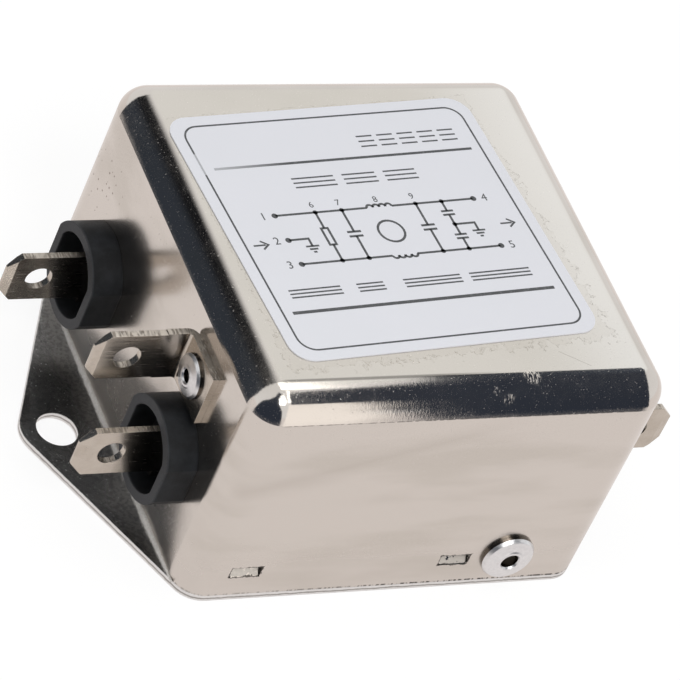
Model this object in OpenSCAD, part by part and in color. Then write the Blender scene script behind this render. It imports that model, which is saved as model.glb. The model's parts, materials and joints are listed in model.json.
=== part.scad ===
// Chassis-mount mains line filter in a deep-drawn can.
// X runs from the line end (-X) to the load end (+X), the riveted long side faces -Y, and +Z is up.
// The origin is the centre of the base plate's underside. All sizes are in millimetres.

/* [Can] */
// Length of the can, from the line end to the load end
can_l = 49.2; // [46:0.1:60]
// Width of the can
can_w = 48.4; // [46:0.1:60]
// Height of the can's top face above the mounting surface
can_h = 30.8; // [29.5:0.1:40]
// Thickness of the can's sheet
can_wall = 0.6; // [0.4:0.05:0.8]
// Radius of the four upright corners
can_corner_r = 3.4; // [3.3:0.1:6]
// Radius drawn round the top edge
can_top_r = 3.3; // [1.5:0.1:3.3]

/* [Base plate] */
// Thickness of the base plate
base_t = 0.8; // [0.5:0.05:1.5]
// Distance between the two fixing holes
ear_pitch = 61; // [58:0.5:76]
// Diameter of the fixing holes
ear_hole_d = 4.7; // [3.2:0.1:5.5]
// Radius of the ear round each fixing hole
ear_r = 4.2; // [3.6:0.1:6]
// Height of the two upturned flanges above the mounting surface
flange_h = 8.6; // [7.5:0.1:12]
// Length of the upturned flanges
flange_l = 38; // [34:0.5:40]

/* [Lances that lock the can to the flanges] */
// Width of a lance
lance_w = 3.6; // [2:0.1:5]
// Height of a lance
lance_h = 1.5; // [1:0.1:2.5]
// Height of a lance's root above the mounting surface
lance_z = 3.6; // [3:0.1:4.5]
// How far a lance leans in
lance_in = 0.9; // [0.5:0.05:1.2]
// Places of the lances along X
lance_x = [-17.8, 7.4];

/* [Terminals] */
// Height of the terminal axes above the mounting surface
term_z = 11.6; // [10.5:0.1:14]
// Distance between the two terminals of one end
term_pitch = 25.2; // [24:0.1:29]
// Width of a blade
blade_w = 6.35; // [4.8:0.05:6.35]
// Thickness of a blade
blade_t = 0.8; // [0.5:0.05:1]
// Length of a blade from its shoulder to its tip
blade_l = 11; // [9:0.1:14]
// Width of the shoulder at the foot of a blade
shoulder_w = 7.9; // [7:0.1:8.4]
// Length of the shoulder
shoulder_l = 1.2; // [0.6:0.1:2]
// Diameter of the hole in a blade
blade_hole_d = 3.1; // [1.6:0.1:3.4]
// Distance of that hole from the tip
blade_hole_tip = 4.1; // [3:0.1:5]
// Length of the tail behind the shoulder
tail_l = 6.6; // [6.2:0.1:8]
// Width of the tail
tail_w = 4.6; // [3:0.1:5]

/* [Bushings] */
// Diameter of the collar outside the can
collar_d = 11.8; // [11:0.1:13]
// Width of the collar across its two flats
collar_flats = 10.8; // [10.8:0.1:12.9]
// Length of the collar outside the can
collar_l = 3.6; // [2.5:0.1:5]
// Wall of the collar round its bowl
collar_wall = 1.15; // [0.8:0.05:1.5]
// Thickness of the bowl's floor outside the can
bowl_floor = 0.5; // [0.3:0.05:1]
// Diameter of the neck in the can's wall
neck_d = 10.2; // [9:0.1:10.5]
// Length of the neck behind the can's outer face
neck_l = 4.2; // [3:0.1:5]
// Clearance round a neck in its hole
neck_gap = 0.1; // [0.05:0.05:0.3]
// Clearance round a blade's tail in its slot
slot_gap = 0.05; // [0.05:0.05:0.2]

/* [Ground tab] */
// Gap between the ground tab and the collar under it
ground_gap = 0.7; // [0.4:0.1:2]
// Place of the ground rivet along Y
ground_y = -11.4; // [-14:0.1:-10]
// Width of the foot along Y, over the bend
foot_w = 7.4; // [6.6:0.1:8.2]
// Height of the foot
foot_h = 6.6; // [6.4:0.1:8.2]
// Reach of the ground tab from the can
ground_reach = 11.4; // [9:0.1:14]
// Length of the wide root of the tab
root_l = 3.5; // [2:0.1:4]
// Inside radius of the bend
bend_r = 0.4; // [0.2:0.1:0.8]

/* [Ground rivet] */
// Diameter of its flange
ground_flange_d = 4.9; // [4:0.1:5]
// Thickness of its flange
ground_flange_t = 0.8; // [0.5:0.1:1.2]
// Diameter of its shank
ground_shank_d = 2.4; // [2:0.1:3]
// Bore, where its stem broke off
ground_bore_d = 1.5; // [1.2:0.1:1.6]

/* [Case rivet] */
// Diameter of its flange
case_flange_d = 6.1; // [5:0.1:7]
// Thickness of its flange
case_flange_t = 1.1; // [0.6:0.1:1.2]
// Diameter of its shank
case_shank_d = 3.2; // [2.8:0.1:3.4]
// Bore, where its stem broke off
case_bore_d = 2; // [1.4:0.1:2.2]
// Clearance round a shank in its hole
rivet_gap = 0.05; // [0.05:0.05:0.2]
// Place of the case rivet along X
case_rivet_x = 13.8; // [12.5:0.1:15]
// Height of the case rivet
case_rivet_z = 4.7; // [4.6:0.1:5.4]

/* [Label] */
// Length of the label
label_l = 38; // [30:0.5:40]
// Width of the label
label_w = 35.6; // [28:0.5:38]
// Thickness of the label
label_t = 0.12; // [0.08:0.02:0.3]
// Corner radius of the label
label_r = 2.6; // [0.5:0.1:4]
// Angle at which it was stuck on
label_turn = 4.6; // [-6:0.1:6]
// Place of its middle on the top face
label_at = [-1.6, 0.7];

/* [Choke] */
// Outside diameter of the ferrite ring
core_d = 24; // [20:0.5:25]
// Inside diameter of the ferrite ring
core_bore_d = 14; // [12:0.5:15]
// Height of the ferrite ring
core_h = 9; // [6:0.5:10]
// Diameter of the winding wire
wire_d = 1.1; // [0.8:0.1:1.3]
// Number of turns of each winding
turns = 9; // [5:1:10]
// Air between the ring and the wire
wire_gap = 0.2; // [0.1:0.05:0.4]

/* [Parts inside] */
// Thickness of the insulating liner
liner_t = 0.3; // [0.2:0.05:0.5]
// Height of the liner's sides above the mounting surface
liner_h = 15; // [12:0.5:18]
// Size of an X capacitor along X, Y and Z
x_cap = [7, 17, 11.6];
// Distance of the X capacitors from the middle
x_cap_x = 8.4; // [6.5:0.1:9]
// Diameter of a Y capacitor
y_cap_d = 8.4; // [6:0.1:9]
// Thickness of a Y capacitor
y_cap_t = 3.4; // [2:0.1:4]
// Diameter of the bleed resistor
resistor_d = 3.2; // [2:0.1:3.6]
// Length of the bleed resistor's body
resistor_l = 9; // [6:0.5:10]
// Diameter of the leads of the small parts
leg_d = 0.7; // [0.5:0.1:0.9]
// Diameter of the insulated connecting leads
lead_d = 1.6; // [1.2:0.1:1.8]
// Clearance between pieces that only lie against each other
lie_gap = 0.1; // [0.05:0.05:0.3]

/* [Hidden] */
$fn = 48;

cut = 0.5;                                  // how far a cutting tool runs past a face
inside_l = can_l - 2 * can_wall;
inside_w = can_w - 2 * can_wall;
inside_top = can_h - can_wall;
flange_out = inside_w / 2 - lie_gap;        // outer face of an upturned flange
flange_in = flange_out - base_t;
liner_out = flange_in - lie_gap;
liner_in = liner_out - liner_t;
floor_top = base_t + liner_t;               // what the parts inside lie on
lance_gap = 0.15;                           // slit round a lance
term_y = term_pitch / 2;
tip_chamfer = 1.5;                          // corners taken off a blade's tip
tip_bevel = 1.0;                            // length of the coined bevel on both faces
tip_t = 0.4 * blade_t;                      // thickness left at the tip
eye_d = 1.4;                                // solder eye in a tail
hole_d = neck_d + 2 * neck_gap;             // hole in the can for a neck
case_hole_d = case_shank_d + 2 * rivet_gap;
ground_hole_d = ground_shank_d + 2 * rivet_gap;
ground_z = term_z + collar_d / 2 + ground_gap + foot_h / 2;
swell = 1.45;                               // a set rivet's blind end over its shank
bulb_l = 2.4;                               // length of that blind end
lug_t = 0.5;                                // thickness of the solder lug
winding_reach = wire_gap + wire_d;          // how far a winding stands off the ring
core_z = inside_top - 1.6 - winding_reach - core_h / 2;
choke_pocket_d = core_d + 2 * winding_reach + 1.6;
potting_z = core_z - core_h / 2;            // level that the filling was poured to
tail_x = can_l / 2 + bowl_floor - tail_l;   // inner end of a blade's tail
wind_from = 20;                             // each winding leaves this angle free at both ends
leg_z = floor_top + lie_gap + leg_d / 2;
cap_z = leg_z + leg_d / 2 + 0.3;            // underside of the X capacitors
y_cap_x = tail_x - y_cap_t / 2 - 1.0;
y_cap_y = y_cap_d / 2 + 0.5;
y_cap_z = floor_top + leg_d + 1.0 + y_cap_d / 2;
over_z = cap_z + x_cap.z + lead_d / 2 + 0.5;  // height at which leads cross the X capacitors

// ---------------------------------------------------------------- helpers

// Rectangle with rounded corners, centred.
module rounded_rect(l, w, r) {
    square([l - 2 * r, w], center = true);
    square([l, w - 2 * r], center = true);
    for (x = [-1, 1], y = [-1, 1])
        translate([x * (l / 2 - r), y * (w / 2 - r)]) circle(r);
}

// Upright section of a pan of full width w: square below, rounded by r above.
module pan_section(w, h, r) {
    translate([-w / 2, 0]) square([w, h - r]);
    translate([-w / 2 + r, 0]) square([w - 2 * r, h]);
    for (x = [-1, 1]) translate([x * (w / 2 - r), h - r]) circle(r);
}

// Half of such a section, for the upright corners.
module corner_section(corner_r, h, r) {
    square([corner_r, h - r]);
    if (corner_r > r) square([corner_r - r, h]);
    translate([corner_r - r, h - r])
        intersection() {
            circle(r);
            square(r);
        }
}

// Solid pan standing on z = 0, with upright corners of corner_r and a top edge of r.
module pan(l, w, h, corner_r, r) {
    rotate([90, 0, 90]) linear_extrude(l - 2 * corner_r, center = true) pan_section(w, h, r);
    rotate([90, 0, 0]) linear_extrude(w - 2 * corner_r, center = true) pan_section(l, h, r);
    for (x = [-1, 1], y = [-1, 1])
        translate([x * (l / 2 - corner_r), y * (w / 2 - corner_r), 0])
            rotate_extrude() corner_section(corner_r, h, r);
}

// Puts a part at a terminal: its +X then points out of the can. End -1 is the line end.
module at_terminal(end, side) {
    translate([end * can_l / 2, side * term_y, term_z]) mirror([end < 0 ? 1 : 0, 0, 0]) children();
}

// Cylinder along +X.
module along_x(d, l) {
    rotate([0, 90, 0]) cylinder(d = d, h = l);
}

// Stiff wire with sharp bends, along the points.
module leg(points) {
    for (i = [0 : len(points) - 2]) {
        run = points[i + 1] - points[i];
        translate(points[i])
            rotate([0, acos(run.z / norm(run)), atan2(run.y, run.x)])
                cylinder(d = leg_d, h = norm(run), $fn = 24);
        if (i > 0) translate(points[i]) sphere(d = leg_d, $fn = 24);
    }
}

function unit(v) = v / norm(v);

// Cuts each corner of a path twice, which rounds it.
function soften(p) = [
    p[0],
    for (i = [0 : len(p) - 2]) each [0.75 * p[i] + 0.25 * p[i + 1], 0.25 * p[i] + 0.75 * p[i + 1]],
    p[len(p) - 1]
];

// Direction of a path at its point i.
function heading(p, i) = unit(p[min(i + 1, len(p) - 1)] - p[max(i - 1, 0)]);

// Tube of the diameter d along a path. Aside is one vector, or one for each point, that sets
// the tube's roll and is never along the path.
module tube(path, d, aside, sides = 6) {
    n = len(path);
    rings = [
        for (i = [0 : n - 1])
            let (t = heading(path, i),
                 a = unit(cross(t, is_list(aside[0]) ? aside[i] : aside)),
                 b = cross(t, a))
            for (k = [0 : sides - 1])
                path[i] + d / 2 * (a * cos(360 * k / sides) + b * sin(360 * k / sides))
    ];
    skin = [
        for (i = [0 : n - 2], k = [0 : sides - 1])
            let (k2 = (k + 1) % sides)
            each [
                [i * sides + k, i * sides + k2, (i + 1) * sides + k2],
                [i * sides + k, (i + 1) * sides + k2, (i + 1) * sides + k]
            ]
    ];
    start = [for (k = [1 : sides - 2]) [0, k + 1, k]];
    last = (n - 1) * sides;
    end = [for (k = [1 : sides - 2]) [last, last + k, last + k + 1]];
    polyhedron(points = rings, faces = [for (f = concat(skin, start, end)) [f[0], f[2], f[1]]]);
}

// ---------------------------------------------------------------- base plate and can

corner_at = [can_l / 2 - can_corner_r, can_w / 2 - can_corner_r];
ear_at = [ear_pitch / 2, 0];

// Outline of an ear: the tangents from the ear's round end to the two corners of the can.
module ear_outline() {
    run = corner_at - ear_at;
    lean = atan2(run.y, run.x) - acos((ear_r - can_corner_r) / norm(run));
    normal = [cos(lean), sin(lean)];
    a = ear_at + ear_r * normal;
    b = corner_at + can_corner_r * normal;
    polygon([a, b, [corner_at.x, 0], [b.x, -b.y], [a.x, -a.y]]);
    translate(ear_at) circle(ear_r);
}

module base_plate() color("#b9b0a6") {
    difference() {
        linear_extrude(base_t) {
            rounded_rect(can_l, can_w, can_corner_r);
            for (end = [0, 1]) mirror([end, 0]) ear_outline();
        }
        for (end = [-1, 1])
            translate([end * ear_pitch / 2, 0, -cut]) cylinder(d = ear_hole_d, h = base_t + 2 * cut);
    }
    for (side = [0, 1]) mirror([0, side, 0]) flange(side == 0);
}

// Upturned flange on the -Y side, with a window behind each lance.
module flange(riveted) {
    difference() {
        translate([-flange_l / 2, -flange_out, base_t / 2])
            cube([flange_l, base_t, flange_h - base_t / 2]);
        for (x = lance_x)
            translate([x - lance_w / 2 - 2 * lance_gap, -flange_out - cut, lance_z])
                cube([lance_w + 4 * lance_gap, base_t + 2 * cut, lance_h + 2 * lance_gap]);
        if (riveted)
            translate([case_rivet_x, -flange_in + cut, case_rivet_z])
                rotate([90, 0, 0]) cylinder(d = case_hole_d, h = base_t + 2 * cut);
    }
}

module can() color("#c8bfb7") {
    difference() {
        translate([0, 0, base_t]) pan(can_l, can_w, can_h - base_t, can_corner_r, can_top_r);
        translate([0, 0, base_t - cut])
            pan(inside_l, inside_w, inside_top - base_t + cut,
                can_corner_r - can_wall, can_top_r - can_wall);
        for (end = [-1, 1], side = [-1, 1])
            at_terminal(end, side) translate([-can_wall - cut, 0, 0]) along_x(hole_d, can_wall + 2 * cut);
        translate([-can_l / 2 - cut, ground_y, ground_z]) along_x(ground_hole_d, can_wall + 2 * cut);
        translate([case_rivet_x, -inside_w / 2 + cut, case_rivet_z])
            rotate([90, 0, 0]) cylinder(d = case_hole_d, h = can_wall + 2 * cut);
        for (side = [0, 1], x = lance_x)
            mirror([0, side, 0])
                translate([x - lance_w / 2, -can_w / 2 - cut, lance_z])
                    cube([lance_w, can_wall + 2 * cut, lance_h]);
    }
    for (side = [0, 1], x = lance_x) mirror([0, side, 0]) lance(x);
}

// Tongue cut free on three sides and pushed in at its top.
module lance(x) {
    tongue_w = lance_w - 2 * lance_gap;
    top = lance_h - lance_gap;
    translate([x - tongue_w / 2, -can_w / 2, lance_z])
        rotate([90, 0, 90])
            linear_extrude(tongue_w)
                polygon([[0, -0.1], [0, 0], [lance_in, top], [lance_in + can_wall, top],
                         [can_wall, 0], [can_wall, -0.1]]);
}

module label() color("#e0e2e6") {
    translate([label_at.x, label_at.y, can_h])
        rotate([0, 0, label_turn]) linear_extrude(label_t) rounded_rect(label_l, label_w, label_r);
}

// ---------------------------------------------------------------- terminals

// Round outline with two flats, drawn upright in Y and Z.
module flatted(d, flats, l) {
    rotate([90, 0, 90])
        linear_extrude(l)
            intersection() {
                circle(d = d);
                square([flats, d], center = true);
            }
}

// Insulating bushing: a collar with a bowl outside the can, a neck in the wall, two snap lugs.
module bushing(end, side) color("#2b2b2e") {
    at_terminal(end, side) difference() {
        union() {
            flatted(collar_d, collar_flats, collar_l);
            translate([-neck_l, 0, 0]) along_x(neck_d, neck_l + bowl_floor);
            for (up = [0, 1]) mirror([0, 0, up]) snap_lug();
        }
        translate([bowl_floor, 0, 0])
            flatted(collar_d - 2 * collar_wall, collar_flats - 2 * collar_wall, collar_l);
        translate([-neck_l - cut, -blade_t / 2 - slot_gap, -tail_w / 2 - slot_gap])
            cube([neck_l + bowl_floor + 2 * cut, blade_t + 2 * slot_gap, tail_w + 2 * slot_gap]);
    }
}

// Wedge that snaps behind the can's wall.
module snap_lug() {
    lug_w = 2.6;
    lug_rise = 0.45;
    translate([0, lug_w / 2, neck_d / 2 - 0.4])
        rotate([90, 0, 0])
            linear_extrude(lug_w)
                polygon([[-can_wall - lie_gap, 0], [-can_wall - lie_gap, 0.4 + lug_rise],
                         [-neck_l + 0.6, 0.4], [-neck_l + 0.6, 0]]);
}

// Outline of a blade with its tip at x = l: chamfered corners and a hole.
module blade_outline(l) {
    half = blade_w / 2;
    difference() {
        polygon([[0, -half], [l - tip_chamfer, -half], [l, -half + tip_chamfer],
                 [l, half - tip_chamfer], [l - tip_chamfer, half], [0, half]]);
        translate([l - blade_hole_tip, 0]) circle(d = blade_hole_d);
    }
}

// Everything between the two faces of a blade, with the coined bevel at its tip.
module blade_thickness(l, back, w) {
    translate([0, 0, -w / 2])
        linear_extrude(w)
            polygon([[-back, -blade_t / 2], [l - tip_bevel, -blade_t / 2], [l, -tip_t / 2],
                     [l, tip_t / 2], [l - tip_bevel, blade_t / 2], [-back, blade_t / 2]]);
}

// Flat blade for a push-on receptacle, with shoulders in the bowl and a tail with a solder eye.
module blade(end, side) color("#b7b0a6") {
    at_terminal(end, side) translate([bowl_floor, 0, 0]) intersection() {
        blade_thickness(blade_l, tail_l + cut, shoulder_w + 2);
        rotate([90, 0, 0])
            linear_extrude(blade_t + 2 * cut, center = true) {
                blade_outline(blade_l);
                translate([0, -shoulder_w / 2]) square([shoulder_l, shoulder_w]);
                difference() {
                    translate([-tail_l, -tail_w / 2]) square([tail_l + shoulder_l, tail_w]);
                    translate([-tail_l + 0.8 * eye_d, 0]) circle(d = eye_d);
                }
            }
    }
}

// ---------------------------------------------------------------- ground tab and rivets

// The strip's bend and its two legs in plan: a foot along -Y and a blade along +X.
module tab_plan() {
    outer_r = bend_r + blade_t;
    translate([0, -foot_w]) square([blade_t, foot_w - outer_r]);
    translate([outer_r, -blade_t]) square([ground_reach - outer_r - tip_bevel, blade_t]);
    translate([ground_reach - tip_bevel, -blade_t / 2])
        polygon([[0, -blade_t / 2], [tip_bevel, -tip_t / 2], [tip_bevel, tip_t / 2], [0, blade_t / 2]]);
    translate([outer_r, -outer_r])
        intersection() {
            difference() {
                circle(outer_r);
                circle(bend_r);
            }
            translate([-outer_r, 0]) square(outer_r);
        }
}

// Bent strip: its foot is riveted flat on the line end and its blade stands out.
module ground_tab() color("#b9b1a7") {
    translate([-can_l / 2, ground_y + foot_w / 2, ground_z]) mirror([1, 0, 0]) difference() {
        intersection() {
            translate([0, 0, -foot_h / 2]) linear_extrude(foot_h) tab_plan();
            rotate([90, 0, 0])
                linear_extrude(3 * foot_w, center = true) {
                    blade_outline(ground_reach);
                    translate([0, -foot_h / 2]) square([root_l, foot_h]);
                }
        }
        translate([-cut, -foot_w / 2, 0]) along_x(ground_hole_d, blade_t + 2 * cut);
    }
}

// Set blind rivet. It points along +X, with its flange's underside at x = 0 and grip mm of
// sheet behind it.
module blind_rivet(grip, shank_d, flange_d, flange_t, bore_d) {
    bulb = swell * shank_d / 2;
    lip = bore_d / 2 + 0.4;
    rotate([0, 90, 0]) rotate_extrude()
        polygon([[bore_d / 2, -grip - bulb_l], [bulb - 0.4, -grip - bulb_l],
                 [bulb, -grip - bulb_l + 0.7], [bulb, -grip - 0.5],
                 [shank_d / 2, -grip], [shank_d / 2, 0], [flange_d / 2, 0],
                 [flange_d / 2, 0.35 * flange_t], [flange_d / 2 - 0.25, 0.7 * flange_t],
                 [lip + 0.2, 0.9 * flange_t], [lip, flange_t], [bore_d / 2 + 0.15, flange_t],
                 [bore_d / 2, flange_t - 0.2]]);
}

// What is left of a rivet's stem: a broken pin in the bore and its head on the blind end.
module stem(grip, bore_d) {
    translate([-grip - bulb_l - lie_gap, 0, 0]) {
        along_x(bore_d - 2 * rivet_gap, grip + bulb_l - 0.4);
        translate([-0.8, 0, 0]) along_x(1.35 * bore_d, 0.8);
    }
}

ground_grip = blade_t + can_wall + lug_t;
case_grip = can_wall + lie_gap + base_t;

// Places of the two rivets, with +X pointing out of the can.
module at_ground_rivet() {
    translate([-can_l / 2 - blade_t, ground_y, ground_z]) mirror([1, 0, 0]) children();
}
module at_case_rivet() {
    translate([case_rivet_x, -can_w / 2, case_rivet_z]) rotate([0, 0, -90]) children();
}

module ground_rivet() color("#c9ccd0") {
    at_ground_rivet()
        blind_rivet(ground_grip, ground_shank_d, ground_flange_d, ground_flange_t, ground_bore_d);
}
module ground_rivet_stem() color("#8d8f92") at_ground_rivet() stem(ground_grip, ground_bore_d);
module case_rivet() color("#c9ccd0") {
    at_case_rivet() blind_rivet(case_grip, case_shank_d, case_flange_d, case_flange_t, case_bore_d);
}
module case_rivet_stem() color("#8d8f92") at_case_rivet() stem(case_grip, case_bore_d);

// Solder lug clamped inside the wall by the ground rivet.
module ground_lug() color("#c4b98a") {
    translate([-inside_l / 2, ground_y, ground_z]) rotate([90, 0, 90])
        linear_extrude(lug_t)
            difference() {
                union() {
                    circle(d = 6);
                    translate([0, -1.4]) square([7, 2.8]);
                }
                circle(d = ground_hole_d);
                translate([5.6, 0]) circle(d = 1.3);
            }
}

// ---------------------------------------------------------------- inside the can

// Folded insulating sheet between the base with its flanges and the parts.
module insulating_liner() color("#d8cfae") {
    difference() {
        translate([-flange_l / 2, -liner_out, base_t]) cube([flange_l, 2 * liner_out, liner_h - base_t]);
        translate([-flange_l / 2 - cut, -liner_in, floor_top])
            cube([flange_l + 2 * cut, 2 * liner_in, liner_h]);
        translate([case_rivet_x, -liner_in + cut, case_rivet_z])
            rotate([90, 0, 0]) cylinder(d = swell * case_shank_d + 0.8, h = liner_t + 2 * cut);
    }
}

// Cured filling at the can's top, with the seats of the choke and the ground rivet.
module potting() color("#4a4038") {
    r = can_corner_r - can_wall - lie_gap;
    difference() {
        translate([0, 0, potting_z])
            pan(inside_l - 2 * lie_gap, inside_w - 2 * lie_gap, inside_top - lie_gap - potting_z,
                r, can_top_r - can_wall - lie_gap);
        translate([0, 0, potting_z - cut])
            cylinder(d = choke_pocket_d, h = core_h + winding_reach + 0.6 + cut);
        translate([-can_l / 2, ground_y - 4.4, potting_z - cut])
            cube([can_wall + lug_t + bulb_l + 3, 12.4, ground_z - potting_z + cut + 4]);
    }
}

// Ferrite ring with its edges broken.
module choke_core() color("#3a4a3c") {
    edge = 0.8;
    translate([0, 0, core_z]) rotate_extrude()
        translate([(core_d + core_bore_d) / 4, 0])
            rounded_rect((core_d - core_bore_d) / 2, core_h, edge);
}

// Web across the ring's bore that keeps the two windings apart.
module choke_divider() color("#e9e6dc") {
    web_l = core_bore_d - 2 * lie_gap;
    web_t = 1.2;
    translate([-web_l / 2, -web_t / 2, core_z - core_h / 2]) cube([web_l, web_t, core_h]);
}

// One point of a winding: turn is its angle round the wire's way, along the angle round the ring.
function wound(turn, along) =
    let (reach = (core_d - core_bore_d) / 4 + wire_gap + wire_d / 2 + 0.25,
         rise = core_h / 2 + wire_gap + wire_d / 2 + 0.25,
         c = cos(turn), s = sin(turn),
         out = (core_d + core_bore_d) / 4 + reach * sign(c) * pow(abs(c), 0.4))
    [out * cos(along), out * sin(along), core_z + rise * sign(s) * pow(abs(s), 0.4)];

// Middle of the ring's section at that angle, which the wire goes round.
function ring_middle(along) =
    (core_d + core_bore_d) / 4 * [cos(along), sin(along), 0] + [0, 0, core_z];

module winding(side) color("#b5642f") {
    steps = 16;
    n = turns * steps;
    angles = [for (i = [0 : n]) side * (wind_from + (180 - 2 * wind_from) * i / n)];
    path = [for (i = [0 : n]) wound(360 * i / steps - 90, angles[i])];
    tube(path, wire_d, [for (i = [0 : n]) path[i] - ring_middle(angles[i])]);
}

// Boxed film capacitor. Its two legs run out sideways and up to the undersides of the tails.
module x_capacitor(end) color("#d9b23a") {
    x = end * x_cap_x;
    foot_y = x_cap.y / 2 - 1.5;
    eye_x = end * (tail_x + 0.8);
    translate([x, 0, cap_z]) linear_extrude(x_cap.z) rounded_rect(x_cap.x, x_cap.y, 0.8);
    for (side = [-1, 1])
        leg([[x, side * foot_y, cap_z + 0.5], [x, side * foot_y, leg_z], [x, side * term_y, leg_z],
             [eye_x, side * term_y, leg_z], [eye_x, side * term_y, term_z - tail_w / 2 - 0.2]]);
}

// Disc capacitor from one load terminal to ground.
module y_capacitor(side) color("#3f6fa3") {
    low = [y_cap_x, side * (y_cap_y - 2.4), y_cap_z - 2];
    high_z = term_z - tail_w / 2 + 0.6;
    translate([y_cap_x - y_cap_t / 2, side * y_cap_y, y_cap_z]) along_x(y_cap_d, y_cap_t);
    leg([low, [low.x, low.y, leg_z], [low.x, side * leg_d, leg_z]]);
    leg([[y_cap_x, side * (y_cap_y + 1.5), high_z], [y_cap_x, side * (term_y - 2.2), high_z],
         [tail_x + 0.9, side * (term_y - blade_t / 2 - leg_d / 2 - 0.1), high_z]]);
}

// Resistor soldered across the line terminals.
module bleed_resistor() color("#c9a77a") {
    reach = term_y - blade_t / 2 - 0.1;
    translate([-tail_x - 0.8, 0, term_z]) rotate([90, 0, 0]) {
        cylinder(d = resistor_d, h = resistor_l, center = true);
        cylinder(d = leg_d, h = 2 * reach, center = true, $fn = 24);
    }
}

// Insulated lead from a blade's tail to the end of its winding, under the ring.
module terminal_lead(end, side) {
    along = side * (end > 0 ? wind_from : 180 - wind_from);
    wire_end = wound(-90, along);
    seat = wire_end - [0, 0, wire_d / 2 + lead_d / 2 + lie_gap];
    tail_end = [end * (tail_x - 0.5), side * term_y, term_z + 1];
    path = [tail_end, tail_end + [-end * 1.6, 0, 0], [end * (tail_x - 4), side * term_y, over_z],
            [end * (tail_x - 6), side * (term_y - 4), seat.z], seat + [end * 2, side, 0], seat];
    tube(soften(soften(path)), lead_d, [0.01, 0.01, 1], sides = 8);
}

// Lead from the solder lug over the X capacitors to the common legs of the Y capacitors.
module lead_ground() color("#6f8f2e") {
    x = -inside_l / 2 + lug_t + lead_d / 2 + lie_gap;
    drop_x = (x_cap_x + x_cap.x / 2 + y_cap_x - y_cap_t / 2) / 2;
    end_z = floor_top + lead_d / 2 + lie_gap;
    path = [[x, ground_y + 5.6, ground_z], [x, ground_y + 6.6, ground_z - 3],
            [x, ground_y + 7.1, over_z + 1], [x + 3, ground_y + 8, over_z], [x + 8, 0, over_z],
            [drop_x - 2, 0, over_z], [drop_x, 0, over_z], [drop_x, 0, over_z - 2],
            [drop_x, 0, end_z + 2], [drop_x, 0, end_z], [y_cap_x - leg_d / 2 - 0.2, 0, end_z]];
    tube(soften(soften(path)), lead_d, [0.02, 1, 0.02], sides = 8);
}

// ---------------------------------------------------------------- the nodes

base_plate();
can();
label();
bushing(-1, 1);  // bushing_line_live
bushing(-1, -1);  // bushing_line_neutral
bushing(1, 1);  // bushing_load_live
bushing(1, -1);  // bushing_load_neutral
blade(-1, 1);  // blade_line_live
blade(-1, -1);  // blade_line_neutral
blade(1, 1);  // blade_load_live
blade(1, -1);  // blade_load_neutral
ground_tab();
ground_rivet();
ground_rivet_stem();
ground_lug();
case_rivet();
case_rivet_stem();
insulating_liner();
potting();
choke_core();
choke_divider();
winding(1);  // winding_live
winding(-1);  // winding_neutral
x_capacitor(-1);  // x_capacitor_line
x_capacitor(1);  // x_capacitor_load
y_capacitor(1);  // y_capacitor_live
y_capacitor(-1);  // y_capacitor_neutral
bleed_resistor();
color("#8a4b2a") terminal_lead(-1, 1);  // lead_line_live
color("#3d6fb5") terminal_lead(-1, -1);  // lead_line_neutral
color("#8a4b2a") terminal_lead(1, 1);  // lead_load_live
color("#3d6fb5") terminal_lead(1, -1);  // lead_load_neutral
lead_ground();
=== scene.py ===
# %% [markdown]
# # A mains line filter in a drawn, nickel-plated can
#
# The real object is a small steel can pressed over a steel base plate, with four blade terminals in black
# bushings, a riveted ground tab and a printed label. The CAD model already holds every solid of it at its
# real size. This lesson gives those solids their finishes, adds the few things that are too thin or too
# irregular for CAD, and sets up a plain studio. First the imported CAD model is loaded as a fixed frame.

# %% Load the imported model
import json
import math
import random

import bmesh
import bpy
from mathutils import Matrix, Quaternion, Vector


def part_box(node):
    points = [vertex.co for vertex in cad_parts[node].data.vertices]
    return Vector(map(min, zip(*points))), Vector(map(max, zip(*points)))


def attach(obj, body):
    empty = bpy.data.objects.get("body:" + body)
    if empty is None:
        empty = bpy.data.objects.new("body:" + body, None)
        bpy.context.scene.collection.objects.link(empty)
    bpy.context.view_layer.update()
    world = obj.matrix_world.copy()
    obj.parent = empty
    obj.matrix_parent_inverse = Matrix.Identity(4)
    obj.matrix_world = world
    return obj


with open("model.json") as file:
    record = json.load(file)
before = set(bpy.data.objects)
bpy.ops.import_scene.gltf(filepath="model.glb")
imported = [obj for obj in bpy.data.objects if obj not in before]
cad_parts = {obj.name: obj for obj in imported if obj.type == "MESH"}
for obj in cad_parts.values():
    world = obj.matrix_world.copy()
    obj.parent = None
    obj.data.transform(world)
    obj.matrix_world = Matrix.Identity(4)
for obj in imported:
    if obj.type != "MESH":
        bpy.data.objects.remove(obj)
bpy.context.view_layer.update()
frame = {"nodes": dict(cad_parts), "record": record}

nodes = frame["nodes"]
MM = 0.001

# %% [markdown]
# Colours are written as sRGB hex values, as a paint chart gives them. Blender's shaders work with linear
# light, so one function converts them. A second small function adds a shader node, sets its options and
# feeds its inputs, which keeps each material short enough to read from top to bottom.

# %% Two helpers for all materials
def colour(hex_value):
    """sRGB hex to linear RGBA."""
    parts = [int(hex_value[i:i + 2], 16) / 255 for i in (1, 3, 5)]
    return (*[c / 12.92 if c <= 0.04045 else ((c + 0.055) / 1.055) ** 2.4 for c in parts], 1.0)


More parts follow.
